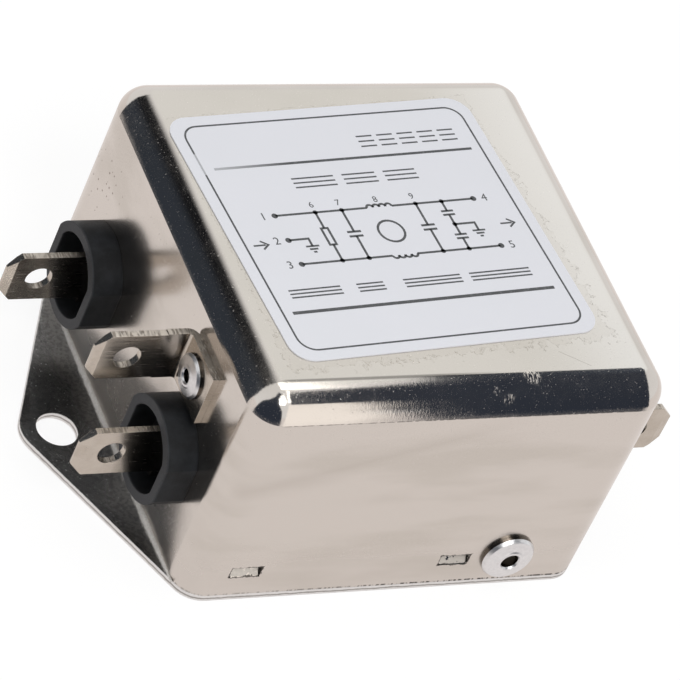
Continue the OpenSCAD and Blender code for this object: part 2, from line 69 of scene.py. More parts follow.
def put(tree, kind, inputs=None, **settings):
    """Adds a node. An input takes a value, a socket, or a node, whose first output is then used."""
    node = tree.nodes.new("ShaderNode" + kind)
    for name, value in settings.items():
        setattr(node, name, value)
    for name, value in (inputs or {}).items():
        if isinstance(value, bpy.types.Node):
            value = value.outputs[0]
        if isinstance(value, bpy.types.NodeSocket):
            tree.links.new(value, node.inputs[name])
        else:
            node.inputs[name].default_value = value
    return node


def finish_named(name, **uniform):
    """A new material with a Principled shader, and a vector of the place on the object in millimetres."""
    material = bpy.data.materials.new(name)
    material.use_nodes = True
    tree = material.node_tree
    tree.nodes.clear()
    shader = put(tree, "BsdfPrincipled", {key.replace("_", " "): value for key, value in uniform.items()})
    put(tree, "OutputMaterial", {"Surface": shader})
    spot = put(tree, "TexCoord")
    mm = put(tree, "VectorMath", {0: spot.outputs["Object"], "Scale": 1000}, operation="SCALE")
    return material, tree, shader, spot, mm


print("a mid grey, linear:", [round(v, 3) for v in colour("#808080")])

# %% [markdown]
# ## Camera
#
# A long lens from far away keeps parallel edges nearly parallel. The camera looks down at about 41
# degrees towards the near corner of the can, and it is rolled by some 26 degrees, so the can seems to
# stand on its corner. Its aim is given as a point half way up the can, because a point is easier to
# change than a rotation.

# %% Camera
camera_data = bpy.data.cameras.new("studio_camera")
camera_data.sensor_width = 36
camera_data.lens = 254.46
camera_data.clip_start = 0.01
camera_data.clip_end = 20
camera = bpy.data.objects.new("studio_camera", camera_data)
bpy.context.scene.collection.objects.link(camera)
camera_place = Vector((-246.5, -309.27, 357.0)) * MM
camera_aim = Vector((-1.947, -1.627, 15.4)) * MM
camera_roll = math.radians(25.556)
look = (camera_aim - camera_place).to_track_quat("-Z", "Y")
camera.rotation_mode = "QUATERNION"
camera.rotation_quaternion = look @ Quaternion((0, 0, 1), camera_roll)
camera.location = camera_place
bpy.context.scene.camera = camera
print("camera distance in mm:", round((camera_aim - camera_place).length / MM, 1))

# %% [markdown]
# ## Floor and world
#
# The can is nearly a mirror, so its colour is made by what stands round it. Both the floor and the world
# are white where the camera or a reflection sees them. For all other rays the floor is an ordinary pale
# matt surface, so it catches a soft shadow, and a fifth of that surface shows for the camera too. In
# reflections the paper is a little warmer than the room, which tells the can's walls from its top.

# %% Floor
FLOOR_REACH = 1.6    # metres from the middle to an edge
GLOW_SHARE = 0.8     # the rest is the matt paper, which shows the shadow
floor_mesh = bpy.data.meshes.new("floor")
reach = FLOOR_REACH
floor_mesh.from_pydata([(-reach, -reach, 0), (reach, -reach, 0), (reach, reach, 0), (-reach, reach, 0)],
                       [], [(0, 1, 2, 3)])
floor = bpy.data.objects.new("floor", floor_mesh)
bpy.context.scene.collection.objects.link(floor)
floor_paper = bpy.data.materials.new("pale_paper_sweep")
floor_paper.use_nodes = True
tree = floor_paper.node_tree
tree.nodes.clear()
ray = put(tree, "LightPath")
by_eye, by_gloss = ray.outputs["Is Camera Ray"], ray.outputs["Is Glossy Ray"]
seen = put(tree, "Math", {0: by_eye, 1: by_gloss}, operation="MAXIMUM")
seen = put(tree, "Math", {0: seen, 1: ray.outputs["Is Transmission Ray"]}, operation="MAXIMUM")
share = put(tree, "Math", {0: seen, 1: GLOW_SHARE}, operation="MULTIPLY")
paper = put(tree, "BsdfDiffuse", {"Color": colour("#F4F3F1")})
warm = put(tree, "Mix", {0: by_eye, 6: colour("#F8F1EE"), 7: (1, 1, 1, 1)}, data_type="RGBA")
glow = put(tree, "Emission", {"Color": warm.outputs[2], "Strength": 1.07})
put(tree, "OutputMaterial", {"Surface": put(tree, "MixShader", {0: share, 1: paper, 2: glow})})
floor_mesh.materials.append(floor_paper)
print("floor is", 2 * FLOOR_REACH, "m square")

# %% World
world = bpy.data.worlds.new("white_room")
bpy.context.scene.world = world
world.use_nodes = True
tree = world.node_tree
tree.nodes.clear()
ray = put(tree, "LightPath")
by_eye, by_gloss = ray.outputs["Is Camera Ray"], ray.outputs["Is Glossy Ray"]
seen = put(tree, "Math", {0: by_eye, 1: by_gloss}, operation="MAXIMUM")
seen = put(tree, "Math", {0: seen, 1: ray.outputs["Is Transmission Ray"]}, operation="MAXIMUM")
room = put(tree, "Background", {"Color": colour("#F3F4F6"), "Strength": 0.80})
white = put(tree, "Background", {"Color": (1, 1, 1, 1), "Strength": 1.0})
put(tree, "OutputWorld", {"Surface": put(tree, "MixShader", {0: seen, 1: room, 2: white})})
bpy.context.scene.view_settings.view_transform = "Standard"
print("view transform:", bpy.context.scene.view_settings.view_transform)

# %% [markdown]
# ## Lamps and cards
#
# Polished metal looks like metal only when it has something to mirror, so a studio stands black and white
# cards round it. The cards here are hidden from the camera, cast no shadow and take no part in diffuse
# light, so they change reflections only. One soft lamp gives the label its light and shapes the shadow.

# %% Lamps
def soft_lamp(name, place, aim, size, power):
    """Square area lamp. Places in millimetres, power in watts."""
    data = bpy.data.lights.new(name, "AREA")
    data.size = size * MM
    data.energy = power
    lamp = bpy.data.objects.new(name, data)
    bpy.context.scene.collection.objects.link(lamp)
    lamp.location = Vector(place) * MM
    lamp.rotation_mode = "QUATERNION"
    lamp.rotation_quaternion = (Vector(aim) - Vector(place)).to_track_quat("-Z", "Y")
    return lamp


soft_lamp("key_lamp", (-80, -500, 620), (0, 0, 20), 260, 1.7)

# %% Cards: how one is made
def plain_glow(name, hex_value, strength):
    """A flat emitting material."""
    material = bpy.data.materials.new(name)
    material.use_nodes = True
    tree = material.node_tree
    tree.nodes.clear()
    glow = put(tree, "Emission", {"Color": colour(hex_value), "Strength": strength})
    put(tree, "OutputMaterial", {"Surface": glow})
    return material


def card(name, rows, material):
    """A bent card. Each row gives the points of one line across it, in millimetres."""
    width = len(rows[0])
    verts = [tuple(Vector(p) * MM) for row in rows for p in row]
    faces = []
    for first in range(0, width * (len(rows) - 1), width):
        for k in range(first, first + width - 1):
            faces.append((k, k + 1, k + width + 1, k + width))
    mesh = bpy.data.meshes.new(name)
    mesh.from_pydata(verts, [], faces)
    mesh.materials.append(material)
    made = bpy.data.objects.new(name, mesh)
    bpy.context.scene.collection.objects.link(made)
    made.visible_camera = False
    made.visible_shadow = False
    made.visible_diffuse = False
    print(name, "has", len(faces), "faces")
    return made

# %% [markdown]
# The long edge in front mirrors the first card as a navy band. The card starts as a point and grows to
# its full width, so the band is a wedge at the line end. The near corner mirrors a smaller one.

# %% Dark cards for the long edge and the near corner
card_black = plain_glow("card_black", "#363C48", 1.0)
card("front_card", [
    ((27, -79, 1), (93, -79, 1)),
    ((30, -91, 17), (97, -91, 17)),
    ((32, -101, 43), (102, -101, 43)),
    ((30, -105, 77), (110, -105, 77)),
    ((28, -100, 97), (114, -100, 97)),
    ((29, -93, 111), (117, -93, 111)),
    ((29, -87, 125), (121, -87, 125)),
    ((32, -77, 142), (126, -77, 142)),
    ((37, -64, 158), (131, -64, 158)),
    ((50, -43, 176), (138, -43, 176)),
    ((69, -22, 188), (143, -22, 188)),
    ((84, 20, 189), (147, 20, 189)),
    ((88, 63, 177), (150, 63, 177)),
    ((90, 75, 169), (150, 75, 169)),
], card_black)
card("near_card", [
    ((-102, -16, 0), (-92, -61, 0), (-60, -92, 0), (-17, -102, 0)),
    ((-127, -28, 60), (-108, -84, 60), (-84, -108, 60), (-30, -127, 60)),
    ((-137, -62, 125), (-121, -104, 125), (-104, -121, 125), (-64, -136, 125)),
    ((-86, -62, 160), (-80, -71, 160), (-73, -78, 160), (-62, -86, 160)),
    ((-50, -32, 192), (-45, -41, 192), (-37, -48, 192), (-26, -52, 192)),
], card_black)

# %% [markdown]
# The edge of the line end mirrors a card whose tone changes: it is navy low down, black above, and it
# fades to white towards the top of the can. Its colour follows its own place, so it needs a few nodes.

# %% Fading card for the line end
FADE_X = (-58, 26)    # millimetres: dark before the first, white after the second
card_grey = bpy.data.materials.new("card_grey_fading")
card_grey.use_nodes = True
tree = card_grey.node_tree
tree.nodes.clear()
place = put(tree, "SeparateXYZ", {0: put(tree, "TexCoord").outputs["Object"]})
lift = put(tree, "MapRange", {
    "Value": place.outputs["Z"],
    "From Min": 30 * MM,
    "From Max": 165 * MM,
}, interpolation_type="SMOOTHSTEP")
tones = put(tree, "Mix", {0: lift, 6: colour("#3A4049"), 7: colour("#1E1F22")}, data_type="RGBA")
share = put(tree, "MapRange", {
    "Value": place.outputs["X"],
    "From Min": FADE_X[0] * MM,
    "From Max": FADE_X[1] * MM,
}, interpolation_type="SMOOTHSTEP")
tint = put(tree, "Mix", {0: share, 6: tones.outputs[2], 7: (0.95, 0.95, 0.95, 1.0)}, data_type="RGBA")
glow = put(tree, "Emission", {"Color": tint.outputs[2], "Strength": 1.0})
put(tree, "OutputMaterial", {"Surface": glow})
card("end_card", [
    ((-66, 10, 0), (-66, 60, 0)),
    ((-80, 8, 40), (-80, 74, 40)),
    ((-100, 38, 90), (-100, 118, 90)),
    ((-104, 65, 140), (-104, 164, 140)),
    ((-75, 90, 190), (-75, 182, 190)),
    ((-25, 98, 200), (-25, 172, 200)),
    ((26, 98, 196), (26, 160, 196)),
], card_grey)

# %% [markdown]
# White cards do the opposite: they keep the metal bright beside the dark bands. A strip overhead lights
# the long edge, two more light the near corner, and a low one lights the lower half of the long edge.

# %% White cards
card_white = plain_glow("card_white", "#FFFDFA", 3.0)
card_pale = plain_glow("card_pale", "#FFFAF5", 1.35)
card("white_strip_card", [
    ((-20, -10, 204), (74, -10, 204)),
    ((-20, 37, 194), (72, 37, 194)),
    ((-20, 72, 178), (70, 72, 178)),
], card_white)
card("corner_white_card", [
    ((19, -22, 182), (52, -22, 182)),
    ((19, -82, 172), (50, -82, 172)),
    ((19, -126, 142), (46, -126, 142)),
], card_white)
card("corner_glint_card", [
    ((-58, -122, 135), (5, -124, 135)),
    ((-48, -95, 155), (-2, -96, 155)),
    ((-38, -65, 172), (-10, -66, 172)),
], card_white)
card("low_white_card", [
    ((-10, -80, 2), (20, -80, 2)),
    ((-6, -92, 40), (26, -92, 40)),
    ((6, -92, 87), (34, -92, 87)),
], card_pale)

# %% [markdown]
# ## Bright nickel on deep-drawn steel
#
# The can is pressed from thin steel sheet and then plated with bright nickel. Nickel is a slightly warm
# mirror, so the finish is mostly roughness and bump, and only a little colour. It could be one flat metal,
# but then the can would look like toy chrome. Instead each mark of the press, the plating bath and the
# hand gets its own small step. Every pattern is placed in real millimetres on the object, so each step
# begins by asking where on the can it is: how high, how far along, and which way it faces.

# %% Places on the case that its finish follows
LABEL_AT = (-1.6, 0.7)      # middle of the label
LABEL_TURN = 4.6            # degrees out of square
LABEL_L = 38.0
LABEL_W = 35.6
PLATE_TOP = 0.801           # just above the base plate's upper face
SEAM_Z = 0.9                # the seam between can and plate
CREASE_Z = 27.5             # where the wall meets the rounded top
CREASE_H = 1.8              # the crease has faded this far above
CREASE_TURN = math.radians(10)
CREASE_D = 0.5 * CREASE_H * math.tan(CREASE_TURN)
LANCE_X = (-17.8, 7.4)      # the tongues pushed in through the long sides
LANCE_Z = 4.35
LANCE_HALF = (1.8, 0.75)
WALL_OUT = 24.13            # a tongue lies between these two distances from the middle
WALL_IN = 22.6
print("crease depth in mm:", round(CREASE_D, 3))

# %% Case nickel: where on the can
bright_nickel, tree, shader, spot, mm = finish_named("bright_nickel_on_drawn_steel", Metallic=1.0)
face = put(tree, "SeparateXYZ", {0: spot.outputs["Normal"]})
place = put(tree, "SeparateXYZ", {0: mm})
# the rounded top edge is neither upright nor level
not_upright = put(tree, "MapRange", {"Value": face.outputs["Z"],
                                     "From Min": 0.02, "From Max": 0.15}, interpolation_type="SMOOTHSTEP")
nearly_level = put(tree, "MapRange", {"Value": face.outputs["Z"],
                                      "From Min": 0.93, "From Max": 0.995}, interpolation_type="SMOOTHSTEP")
bend = put(tree, "Math", {0: not_upright, 1: nearly_level}, operation="SUBTRACT", use_clamp=True)
level = put(tree, "MapRange", {"Value": face.outputs["Z"],
                               "From Min": 0.97, "From Max": 1.0}, interpolation_type="SMOOTHSTEP")
upright_share = put(tree, "Math", {0: face.outputs["Z"]}, operation="ABSOLUTE")
upright = put(tree, "MapRange", {"Value": upright_share,
                                 "From Min": 0.25, "From Max": 0.05}, interpolation_type="SMOOTHSTEP")
facing_end = put(tree, "Math", {0: face.outputs["X"]}, operation="ABSOLUTE")
long_side = put(tree, "MapRange", {"Value": facing_end,
                                   "From Min": 0.35, "From Max": 0.15}, interpolation_type="SMOOTHSTEP")
print("the finish knows these directions:", [socket.name for socket in face.outputs])

# %% [markdown]
# Where the punch bends the wall into the top, a crisp crease stays. It turns the surface by 10 degrees
# and fades within 1.8 mm, as a height that falls off above the wall. On the long sides the sheet was
# strained, and near the line end it is left grainy. The grain is about 0.2 mm by 0.6 mm and lies over the
# bend. Bright plating also has a very slight orange peel, and a finer one where the sheet was stretched.

# %% Case nickel: crease, strained grain and orange peel
above = put(tree, "MapRange", {"Value": place.outputs["Z"],
                               "From Min": CREASE_Z, "From Max": CREASE_Z + CREASE_H,
                               "To Min": 1.0, "To Max": 0.0})
falling = put(tree, "Math", {0: above, 1: above}, operation="MULTIPLY")
height = put(tree, "Math", {0: falling, 1: CREASE_D}, operation="MULTIPLY")
across_bend = put(tree, "Mapping", {"Vector": mm, "Scale": (4.6, 1.7, 1.7)})
strained = put(tree, "TexNoise", {"Vector": across_bend, "Scale": 1.0, "Detail": 2.0, "Roughness": 0.6})
from_line_end = put(tree, "MapRange", {"Value": place.outputs["X"],
                                       "From Min": -17, "From Max": -6}, interpolation_type="SMOOTHSTEP")
to_middle = put(tree, "MapRange", {"Value": place.outputs["X"], "From Min": 8, "From Max": -1,
                                   "To Min": 0.14, "To Max": 1.0}, interpolation_type="SMOOTHSTEP")
near_line = put(tree, "Math", {0: from_line_end, 1: to_middle}, operation="MULTIPLY")
long_bend = put(tree, "Math", {0: bend, 1: long_side}, operation="MULTIPLY")
amount = put(tree, "Math", {0: long_bend, 1: near_line}, operation="MULTIPLY")
strained = put(tree, "Math", {0: strained, 1: amount}, operation="MULTIPLY")
height = put(tree, "Math", {0: strained, 1: 0.0075, 2: height}, operation="MULTIPLY_ADD")
peel = put(tree, "TexNoise", {"Vector": mm, "Scale": 1.4, "Detail": 3.0, "Roughness": 0.6})
height = put(tree, "Math", {0: peel, 1: 0.0022, 2: height}, operation="MULTIPLY_ADD")
fine_peel = put(tree, "TexNoise", {"Vector": mm, "Scale": 4.2, "Detail": 2.0, "Roughness": 0.6})
fine_peel = put(tree, "Math", {0: fine_peel, 1: bend}, operation="MULTIPLY")
height = put(tree, "Math", {0: fine_peel, 1: 0.0018, 2: height}, operation="MULTIPLY_ADD")
print("grain across the bend in mm:", round(1 / 4.6, 2))

# %% [markdown]
# Dust and dull dots break up the reflection. They show only where the plating mirrors something dark, so
# they change the roughness and not the colour. Long slanting smears come from hands and rags. The upright
# walls are a little duller than the top, most of all near the foot, where the can is held and pushed.

# %% Case nickel: dots, smears and roughness
few_low = put(tree, "MapRange", {"Value": place.outputs["Z"], "From Min": 20, "From Max": 27,
                                 "To Min": 0.3, "To Max": 1.0}, interpolation_type="SMOOTHSTEP")
fine_dots = put(tree, "TexNoise", {"Vector": mm, "Scale": 4.2, "Detail": 2.0, "Roughness": 0.75})
fine_dots = put(tree, "MapRange", {"Value": fine_dots,
                                   "From Min": 0.645, "From Max": 0.73}, interpolation_type="SMOOTHSTEP")
dots = put(tree, "Math", {0: fine_dots, 1: few_low}, operation="MULTIPLY")
clouds = put(tree, "TexNoise", {"Vector": mm, "Scale": 0.8, "Detail": 5.0, "Roughness": 0.7})
clouds = put(tree, "MapRange", {"Value": clouds,
                                "From Min": 0.46, "From Max": 0.72}, interpolation_type="SMOOTHSTEP")
cloudy = put(tree, "Math", {0: bend, 1: 0.17}, operation="MULTIPLY")
dots = put(tree, "Math", {0: clouds, 1: cloudy, 2: dots}, operation="MULTIPLY_ADD")
slanting = put(tree, "Mapping", {
    "Vector": mm,
    "Rotation": (0, math.radians(-17), math.radians(20)),
    "Scale": (0.045, 0.09, 0.2),
})
smear = put(tree, "TexNoise", {"Vector": slanting, "Scale": 1.0, "Detail": 3.0, "Roughness": 0.5})
roughness = put(tree, "MapRange", {"Value": smear, "From Min": 0.3, "From Max": 0.7,
                                   "To Min": 0.085, "To Max": 0.135}, interpolation_type="SMOOTHSTEP")
roughness = put(tree, "Math", {0: dots, 1: 0.27, 2: roughness}, operation="MULTIPLY_ADD")
foot = put(tree, "MapRange", {"Value": place.outputs["Z"], "From Min": 1.5, "From Max": 12,
                              "To Min": 0.2, "To Max": 0.07}, interpolation_type="SMOOTHSTEP")
roughness = put(tree, "Math", {0: upright, 1: foot, 2: roughness}, operation="MULTIPLY_ADD")
print("roughness of a clean place: 0.085 to 0.135")

# %% Case nickel: base colour
smeared = put(tree, "MapRange", {"Value": smear,
                                 "From Min": 0.42, "From Max": 0.7}, interpolation_type="SMOOTHSTEP")
base = put(tree, "Mix", {0: smeared, 6: colour("#CFC9C3"), 7: colour("#C6C0B9")}, data_type="RGBA").outputs[2]
# painted highlight: the top is painted lighter than the walls, and a little brighter still towards the load
# end
painted_top_highlight = put(tree, "Math", {0: level, 1: 0.5}, operation="MULTIPLY")
base = put(tree, "Mix", {0: painted_top_highlight, 6: base, 7: colour("#D5D1C7")}, data_type="RGBA").outputs[2]
painted_highlight_towards_load = put(tree, "MapRange", {"Value": place.outputs["X"], "From Min": 6, "From Max": 24,
                                      "To Min": 0.0, "To Max": 0.7}, interpolation_type="SMOOTHSTEP")
painted_top_highlight = put(tree, "Math", {0: level, 1: painted_highlight_towards_load}, operation="MULTIPLY")
base = put(tree, "Mix", {0: painted_top_highlight, 6: base, 7: colour("#EAE8E4")}, data_type="RGBA").outputs[2]
print("nickel, linear:", [round(v, 3) for v in colour("#CFC9C3")])

# %% [markdown]
# Thin dark lines are painted on the long sides as dark reflections of the bend: one where the bend begins, at
# the crease, and a shorter one where it ends on the top. The first is about 0.15 mm wide and the second 0.4
# mm.

# %% Case nickel: painted dark reflection lines along the bend
BEND_END_Y = -20.9
from_end = put(tree, "Math", {0: place.outputs["Y"], 1: -BEND_END_Y}, operation="ADD")
from_end = put(tree, "Math", {0: from_end}, operation="ABSOLUTE")
thin = put(tree, "MapRange", {"Value": from_end, "From Min": 0.08, "From Max": 0.3,
                              "To Min": 1.0, "To Max": 0.0}, interpolation_type="SMOOTHSTEP")
high = put(tree, "MapRange", {"Value": place.outputs["Z"],
                              "From Min": 30.3, "From Max": 30.6}, interpolation_type="SMOOTHSTEP")
painted_dark_line_at_bend_end = put(tree, "Math", {0: thin, 1: high}, operation="MULTIPLY")
line_half = put(tree, "MapRange", {"Value": place.outputs["X"],
                                   "From Min": 6, "From Max": -4}, interpolation_type="SMOOTHSTEP")
painted_dark_line_at_bend_end = put(tree, "Math", {0: painted_dark_line_at_bend_end, 1: line_half}, operation="MULTIPLY")
from_crease = put(tree, "Math", {0: place.outputs["Z"], 1: CREASE_Z}, operation="SUBTRACT")
from_crease = put(tree, "Math", {0: from_crease}, operation="ABSOLUTE")
thin = put(tree, "MapRange", {"Value": from_crease, "From Min": 0.04, "From Max": 0.1,
                              "To Min": 1.0, "To Max": 0.0}, interpolation_type="SMOOTHSTEP")
breaks = put(tree, "TexNoise", {"Vector": mm, "Scale": 1.2, "Detail": 4.0, "Roughness": 0.6})
breaks = put(tree, "MapRange", {"Value": breaks,
                                "From Min": 0.38, "From Max": 0.55}, interpolation_type="SMOOTHSTEP")
painted_dark_line_at_crease = put(tree, "Math", {0: thin, 1: breaks}, operation="MULTIPLY")
along = put(tree, "Math", {0: place.outputs["X"]}, operation="ABSOLUTE")
clear_of_ends = put(tree, "MapRange", {"Value": along,
                                       "From Min": 22.5, "From Max": 20.5}, interpolation_type="SMOOTHSTEP")
allowed = put(tree, "Math", {0: long_side, 1: clear_of_ends}, operation="MULTIPLY")
painted_dark_bend_lines = put(tree, "Math", {0: painted_dark_line_at_bend_end, 1: painted_dark_line_at_crease}, operation="MAXIMUM")
painted_dark_bend_lines = put(tree, "Math", {0: painted_dark_bend_lines, 1: allowed}, operation="MULTIPLY")
painted_dark_bend_lines = put(tree, "Math", {0: painted_dark_bend_lines, 1: 0.6}, operation="MULTIPLY")
# the lines are painted dark as reflections along the bend
base = put(tree, "Mix", {0: painted_dark_bend_lines, 6: base, 7: colour("#4A4744")}, data_type="RGBA").outputs[2]
print("tool lines at z =", CREASE_Z, "and y =", BEND_END_Y)

# %% [markdown]
# The base plate takes the same plating, but it was only punched and folded, so it is more neutral and
# its level faces are duller. A sheared edge is smooth for half its thickness and torn for the rest, with a
# wandering dark line between the two.

# %% Case nickel: the base plate and its sheared edge
plate = put(tree, "Math", {0: place.outputs["Z"], 1: PLATE_TOP}, operation="LESS_THAN")
neutral = put(tree, "Math", {0: plate, 1: 0.8}, operation="MULTIPLY")
base = put(tree, "Mix", {0: neutral, 6: base, 7: colour("#E2E3E4")}, data_type="RGBA").outputs[2]
facing_up = put(tree, "MapRange", {"Value": face.outputs["Z"],
                                   "From Min": 0.5, "From Max": 0.9}, interpolation_type="SMOOTHSTEP")
level_plate = put(tree, "Math", {0: plate, 1: facing_up}, operation="MULTIPLY")
roughness = put(tree, "Math", {0: level_plate, 1: 0.1, 2: roughness}, operation="MULTIPLY_ADD")
half_way = put(tree, "Math", {0: place.outputs["Z"], 1: 0.5}, operation="SUBTRACT")
wander = put(tree, "TexNoise", {"Vector": mm, "Scale": 1.0, "Detail": 3.0, "Roughness": 0.6})
sheared = put(tree, "Math", {0: wander, 1: 0.3, 2: half_way}, operation="MULTIPLY_ADD")
sheared = put(tree, "Math", {0: sheared}, operation="ABSOLUTE")
sheared = put(tree, "MapRange", {"Value": sheared, "From Min": 0.06, "From Max": 0.15,
                                 "To Min": 1.0, "To Max": 0.0}, interpolation_type="SMOOTHSTEP")
sheared = put(tree, "Math", {0: sheared, 1: plate}, operation="MULTIPLY")
sheared = put(tree, "Math", {0: sheared, 1: upright}, operation="MULTIPLY")
sheared = put(tree, "Math", {0: sheared, 1: 0.7}, operation="MULTIPLY")
base = put(tree, "Mix", {0: sheared, 6: base, 7: colour("#6A645D")}, data_type="RGBA").outputs[2]
print("plate finish below z =", PLATE_TOP)

# %% [markdown]
# A hand has held the can high on its long side and left one dull diagonal smear. It is the band between
# two slanting planes, with the wandering edge of the long smears.

# %% Case nickel: the smear of a hand
moved = put(tree, "Mapping", {"Vector": mm, "Location": (5.4, 0, -22.6)})
held = put(tree, "VectorMath", {0: moved, 1: (-0.30, 0.0, 0.954)}, operation="DOT_PRODUCT").outputs["Value"]
held = put(tree, "Math", {0: held}, operation="ABSOLUTE")
held = put(tree, "Math", {0: smear, 1: 5.0, 2: held}, operation="MULTIPLY_ADD")
held = put(tree, "MapRange", {"Value": held, "From Min": 1.8, "From Max": 4.6,
                              "To Min": 1.0, "To Max": 0.0}, interpolation_type="SMOOTHSTEP")
line_half = put(tree, "MapRange", {"Value": place.outputs["X"],
                                   "From Min": 10, "From Max": -4}, interpolation_type="SMOOTHSTEP")
held = put(tree, "Math", {0: held, 1: line_half}, operation="MULTIPLY")
front = put(tree, "MapRange", {"Value": face.outputs["Y"],
                               "From Min": -0.6, "From Max": -0.95}, interpolation_type="SMOOTHSTEP")
held = put(tree, "Math", {0: held, 1: front}, operation="MULTIPLY")
held = put(tree, "Math", {0: held, 1: 0.18}, operation="MULTIPLY")
base = put(tree, "Mix", {0: held, 6: base, 7: colour("#8E857B")}, data_type="RGBA").outputs[2]
print("the smear is at most 18 percent strong")

# %% [markdown]
# Dark pits are specks where the steel has rusted through the plating. They are 0.03 mm across on most of
# the can, and up to 0.25 mm and thick in one patch high on the line end.

# %% Case nickel: pits
PIT_CELL = 1.25    # cells to a millimetre
PATCH_AT = (-24.6, 18.6, 19.8)
cells = put(tree, "TexVoronoi", {"Vector": mm, "Scale": PIT_CELL, "Randomness": 1.0})
patch = put(tree, "VectorMath", {0: mm, 1: PATCH_AT}, operation="DISTANCE")
pit_size = put(tree, "MapRange", {"Value": patch.outputs["Value"], "From Min": 2.0, "From Max": 6.5,
                                  "To Min": 0.16, "To Max": 0.022})
pit = put(tree, "Math", {0: cells.outputs["Distance"], 1: pit_size}, operation="LESS_THAN")
rust = put(tree, "Math", {0: pit, 1: 0.7}, operation="MULTIPLY")
base = put(tree, "Mix", {0: rust, 6: base, 7: colour("#5A463A")}, data_type="RGBA").outputs[2]
height = put(tree, "Math", {0: pit, 1: -0.008, 2: height}, operation="MULTIPLY_ADD")
print("pits in mm across:", round(2 * 0.022 / PIT_CELL, 3), "to", round(2 * 0.16 / PIT_CELL, 3))

# %% [markdown]
# Glue has crept out round the label, more towards the near corner. It is a faint film that ends in thin
# wandering brown lines. To place it, each point is turned into the label's own directions, and its
# distance outside the label's edge is compared with how far the glue has crept there.

# %% Case nickel: distance outside the label
LABEL_MIDDLE = (LABEL_AT[0], LABEL_AT[1], 0)
on_label = put(tree, "VectorRotate", {
    "Vector": mm,
    "Center": LABEL_MIDDLE,
    "Angle": -math.radians(LABEL_TURN),
}, rotation_type="Z_AXIS")
from_label = put(tree, "VectorMath", {0: on_label, 1: LABEL_MIDDLE}, operation="SUBTRACT")
signed = put(tree, "SeparateXYZ", {0: from_label})
out_x = put(tree, "Math", {0: signed.outputs["X"]}, operation="ABSOLUTE")
out_x = put(tree, "Math", {0: out_x, 1: LABEL_L / 2}, operation="SUBTRACT")
out_y = put(tree, "Math", {0: signed.outputs["Y"]}, operation="ABSOLUTE")
out_y = put(tree, "Math", {0: out_y, 1: LABEL_W / 2}, operation="SUBTRACT")
out = put(tree, "Math", {0: out_x, 1: out_y}, operation="MAXIMUM")
print("label middle in mm:", LABEL_MIDDLE)

# %% Case nickel: glue round the label
# it has crept furthest towards the near corner
lean = put(tree, "Math", {0: signed.outputs["Y"], 1: -1.0}, operation="MULTIPLY")
lean = put(tree, "Math", {0: signed.outputs["X"], 1: 0.45, 2: lean}, operation="MULTIPLY_ADD")
much = put(tree, "MapRange", {"Value": lean, "From Min": -14, "From Max": 16,
                              "To Min": 0.3, "To Max": 1.0}, interpolation_type="SMOOTHSTEP")
creep = put(tree, "TexNoise", {"Vector": mm, "Scale": 0.8, "Detail": 6.0, "Roughness": 0.7})
creep = put(tree, "Math", {0: creep, 1: 6.4, 2: -2.15}, operation="MULTIPLY_ADD")
creep = put(tree, "Math", {0: creep, 1: much}, operation="MULTIPLY")
inside = put(tree, "Math", {0: creep, 1: out}, operation="SUBTRACT")
film = put(tree, "MapRange", {"Value": inside,
                              "From Min": -0.03, "From Max": 0.08}, interpolation_type="SMOOTHSTEP")
film = put(tree, "Math", {0: film, 1: level}, operation="MULTIPLY")
rim = put(tree, "MapRange", {"Value": inside, "From Min": 0.05, "From Max": 0.16,
                             "To Min": 1.0, "To Max": 0.0}, interpolation_type="SMOOTHSTEP")
edge = put(tree, "Math", {0: film, 1: rim}, operation="MULTIPLY")
broken = put(tree, "TexNoise", {"Vector": mm, "Scale": 1.7, "Detail": 3.0, "Roughness": 0.6})
broken = put(tree, "MapRange", {"Value": broken,
                                "From Min": 0.42, "From Max": 0.56}, interpolation_type="SMOOTHSTEP")
broken = put(tree, "Math", {0: broken, 1: much}, operation="MULTIPLY")
edge = put(tree, "Math", {0: edge, 1: broken}, operation="MULTIPLY")
faint = put(tree, "Math", {0: film, 1: much}, operation="MULTIPLY")
faint = put(tree, "Math", {0: faint, 1: 0.07}, operation="MULTIPLY")
base = put(tree, "Mix", {0: faint, 6: base, 7: colour("#9C8F7C")}, data_type="RGBA").outputs[2]
brown = put(tree, "Math", {0: edge, 1: 0.85}, operation="MULTIPLY")
base = put(tree, "Mix", {0: brown, 6: base, 7: colour("#5C5040")}, data_type="RGBA").outputs[2]
roughness = put(tree, "Math", {0: film, 1: 0.02, 2: roughness}, operation="MULTIPLY_ADD")
height = put(tree, "Math", {0: edge, 1: 0.0015, 2: height}, operation="MULTIPLY_ADD")
print("nodes so far:", len(tree.nodes))

# %% [markdown]
# Two small accidents follow: a straight scratch 3.8 mm long and 0.07 mm wide on the top, and three
# rubbed marks on the long edge, where the plating has gone matt.

# %% Case nickel: scratch
SCRATCH_AT = (13.7, -19.3, 30.8)
run = put(tree, "VectorMath", {0: mm, 1: SCRATCH_AT}, operation="SUBTRACT")
run = put(tree, "VectorRotate", {"Vector": run, "Angle": math.radians(35.5)}, rotation_type="Z_AXIS")
run = put(tree, "SeparateXYZ", {0: run})
narrow = put(tree, "Math", {0: run.outputs["Y"]}, operation="ABSOLUTE")
narrow = put(tree, "Math", {0: narrow, 1: 0.035}, operation="LESS_THAN")
short = put(tree, "Math", {0: run.outputs["X"]}, operation="ABSOLUTE")
short = put(tree, "Math", {0: short, 1: 1.9}, operation="LESS_THAN")
scratch = put(tree, "Math", {0: narrow, 1: short}, operation="MULTIPLY")
scratch = put(tree, "Math", {0: scratch, 1: level}, operation="MULTIPLY")
scratch = put(tree, "Math", {0: scratch, 1: 0.5}, operation="MULTIPLY")
base = put(tree, "Mix", {0: scratch, 6: base, 7: colour("#8C857C")}, data_type="RGBA").outputs[2]
print("scratch at", SCRATCH_AT)

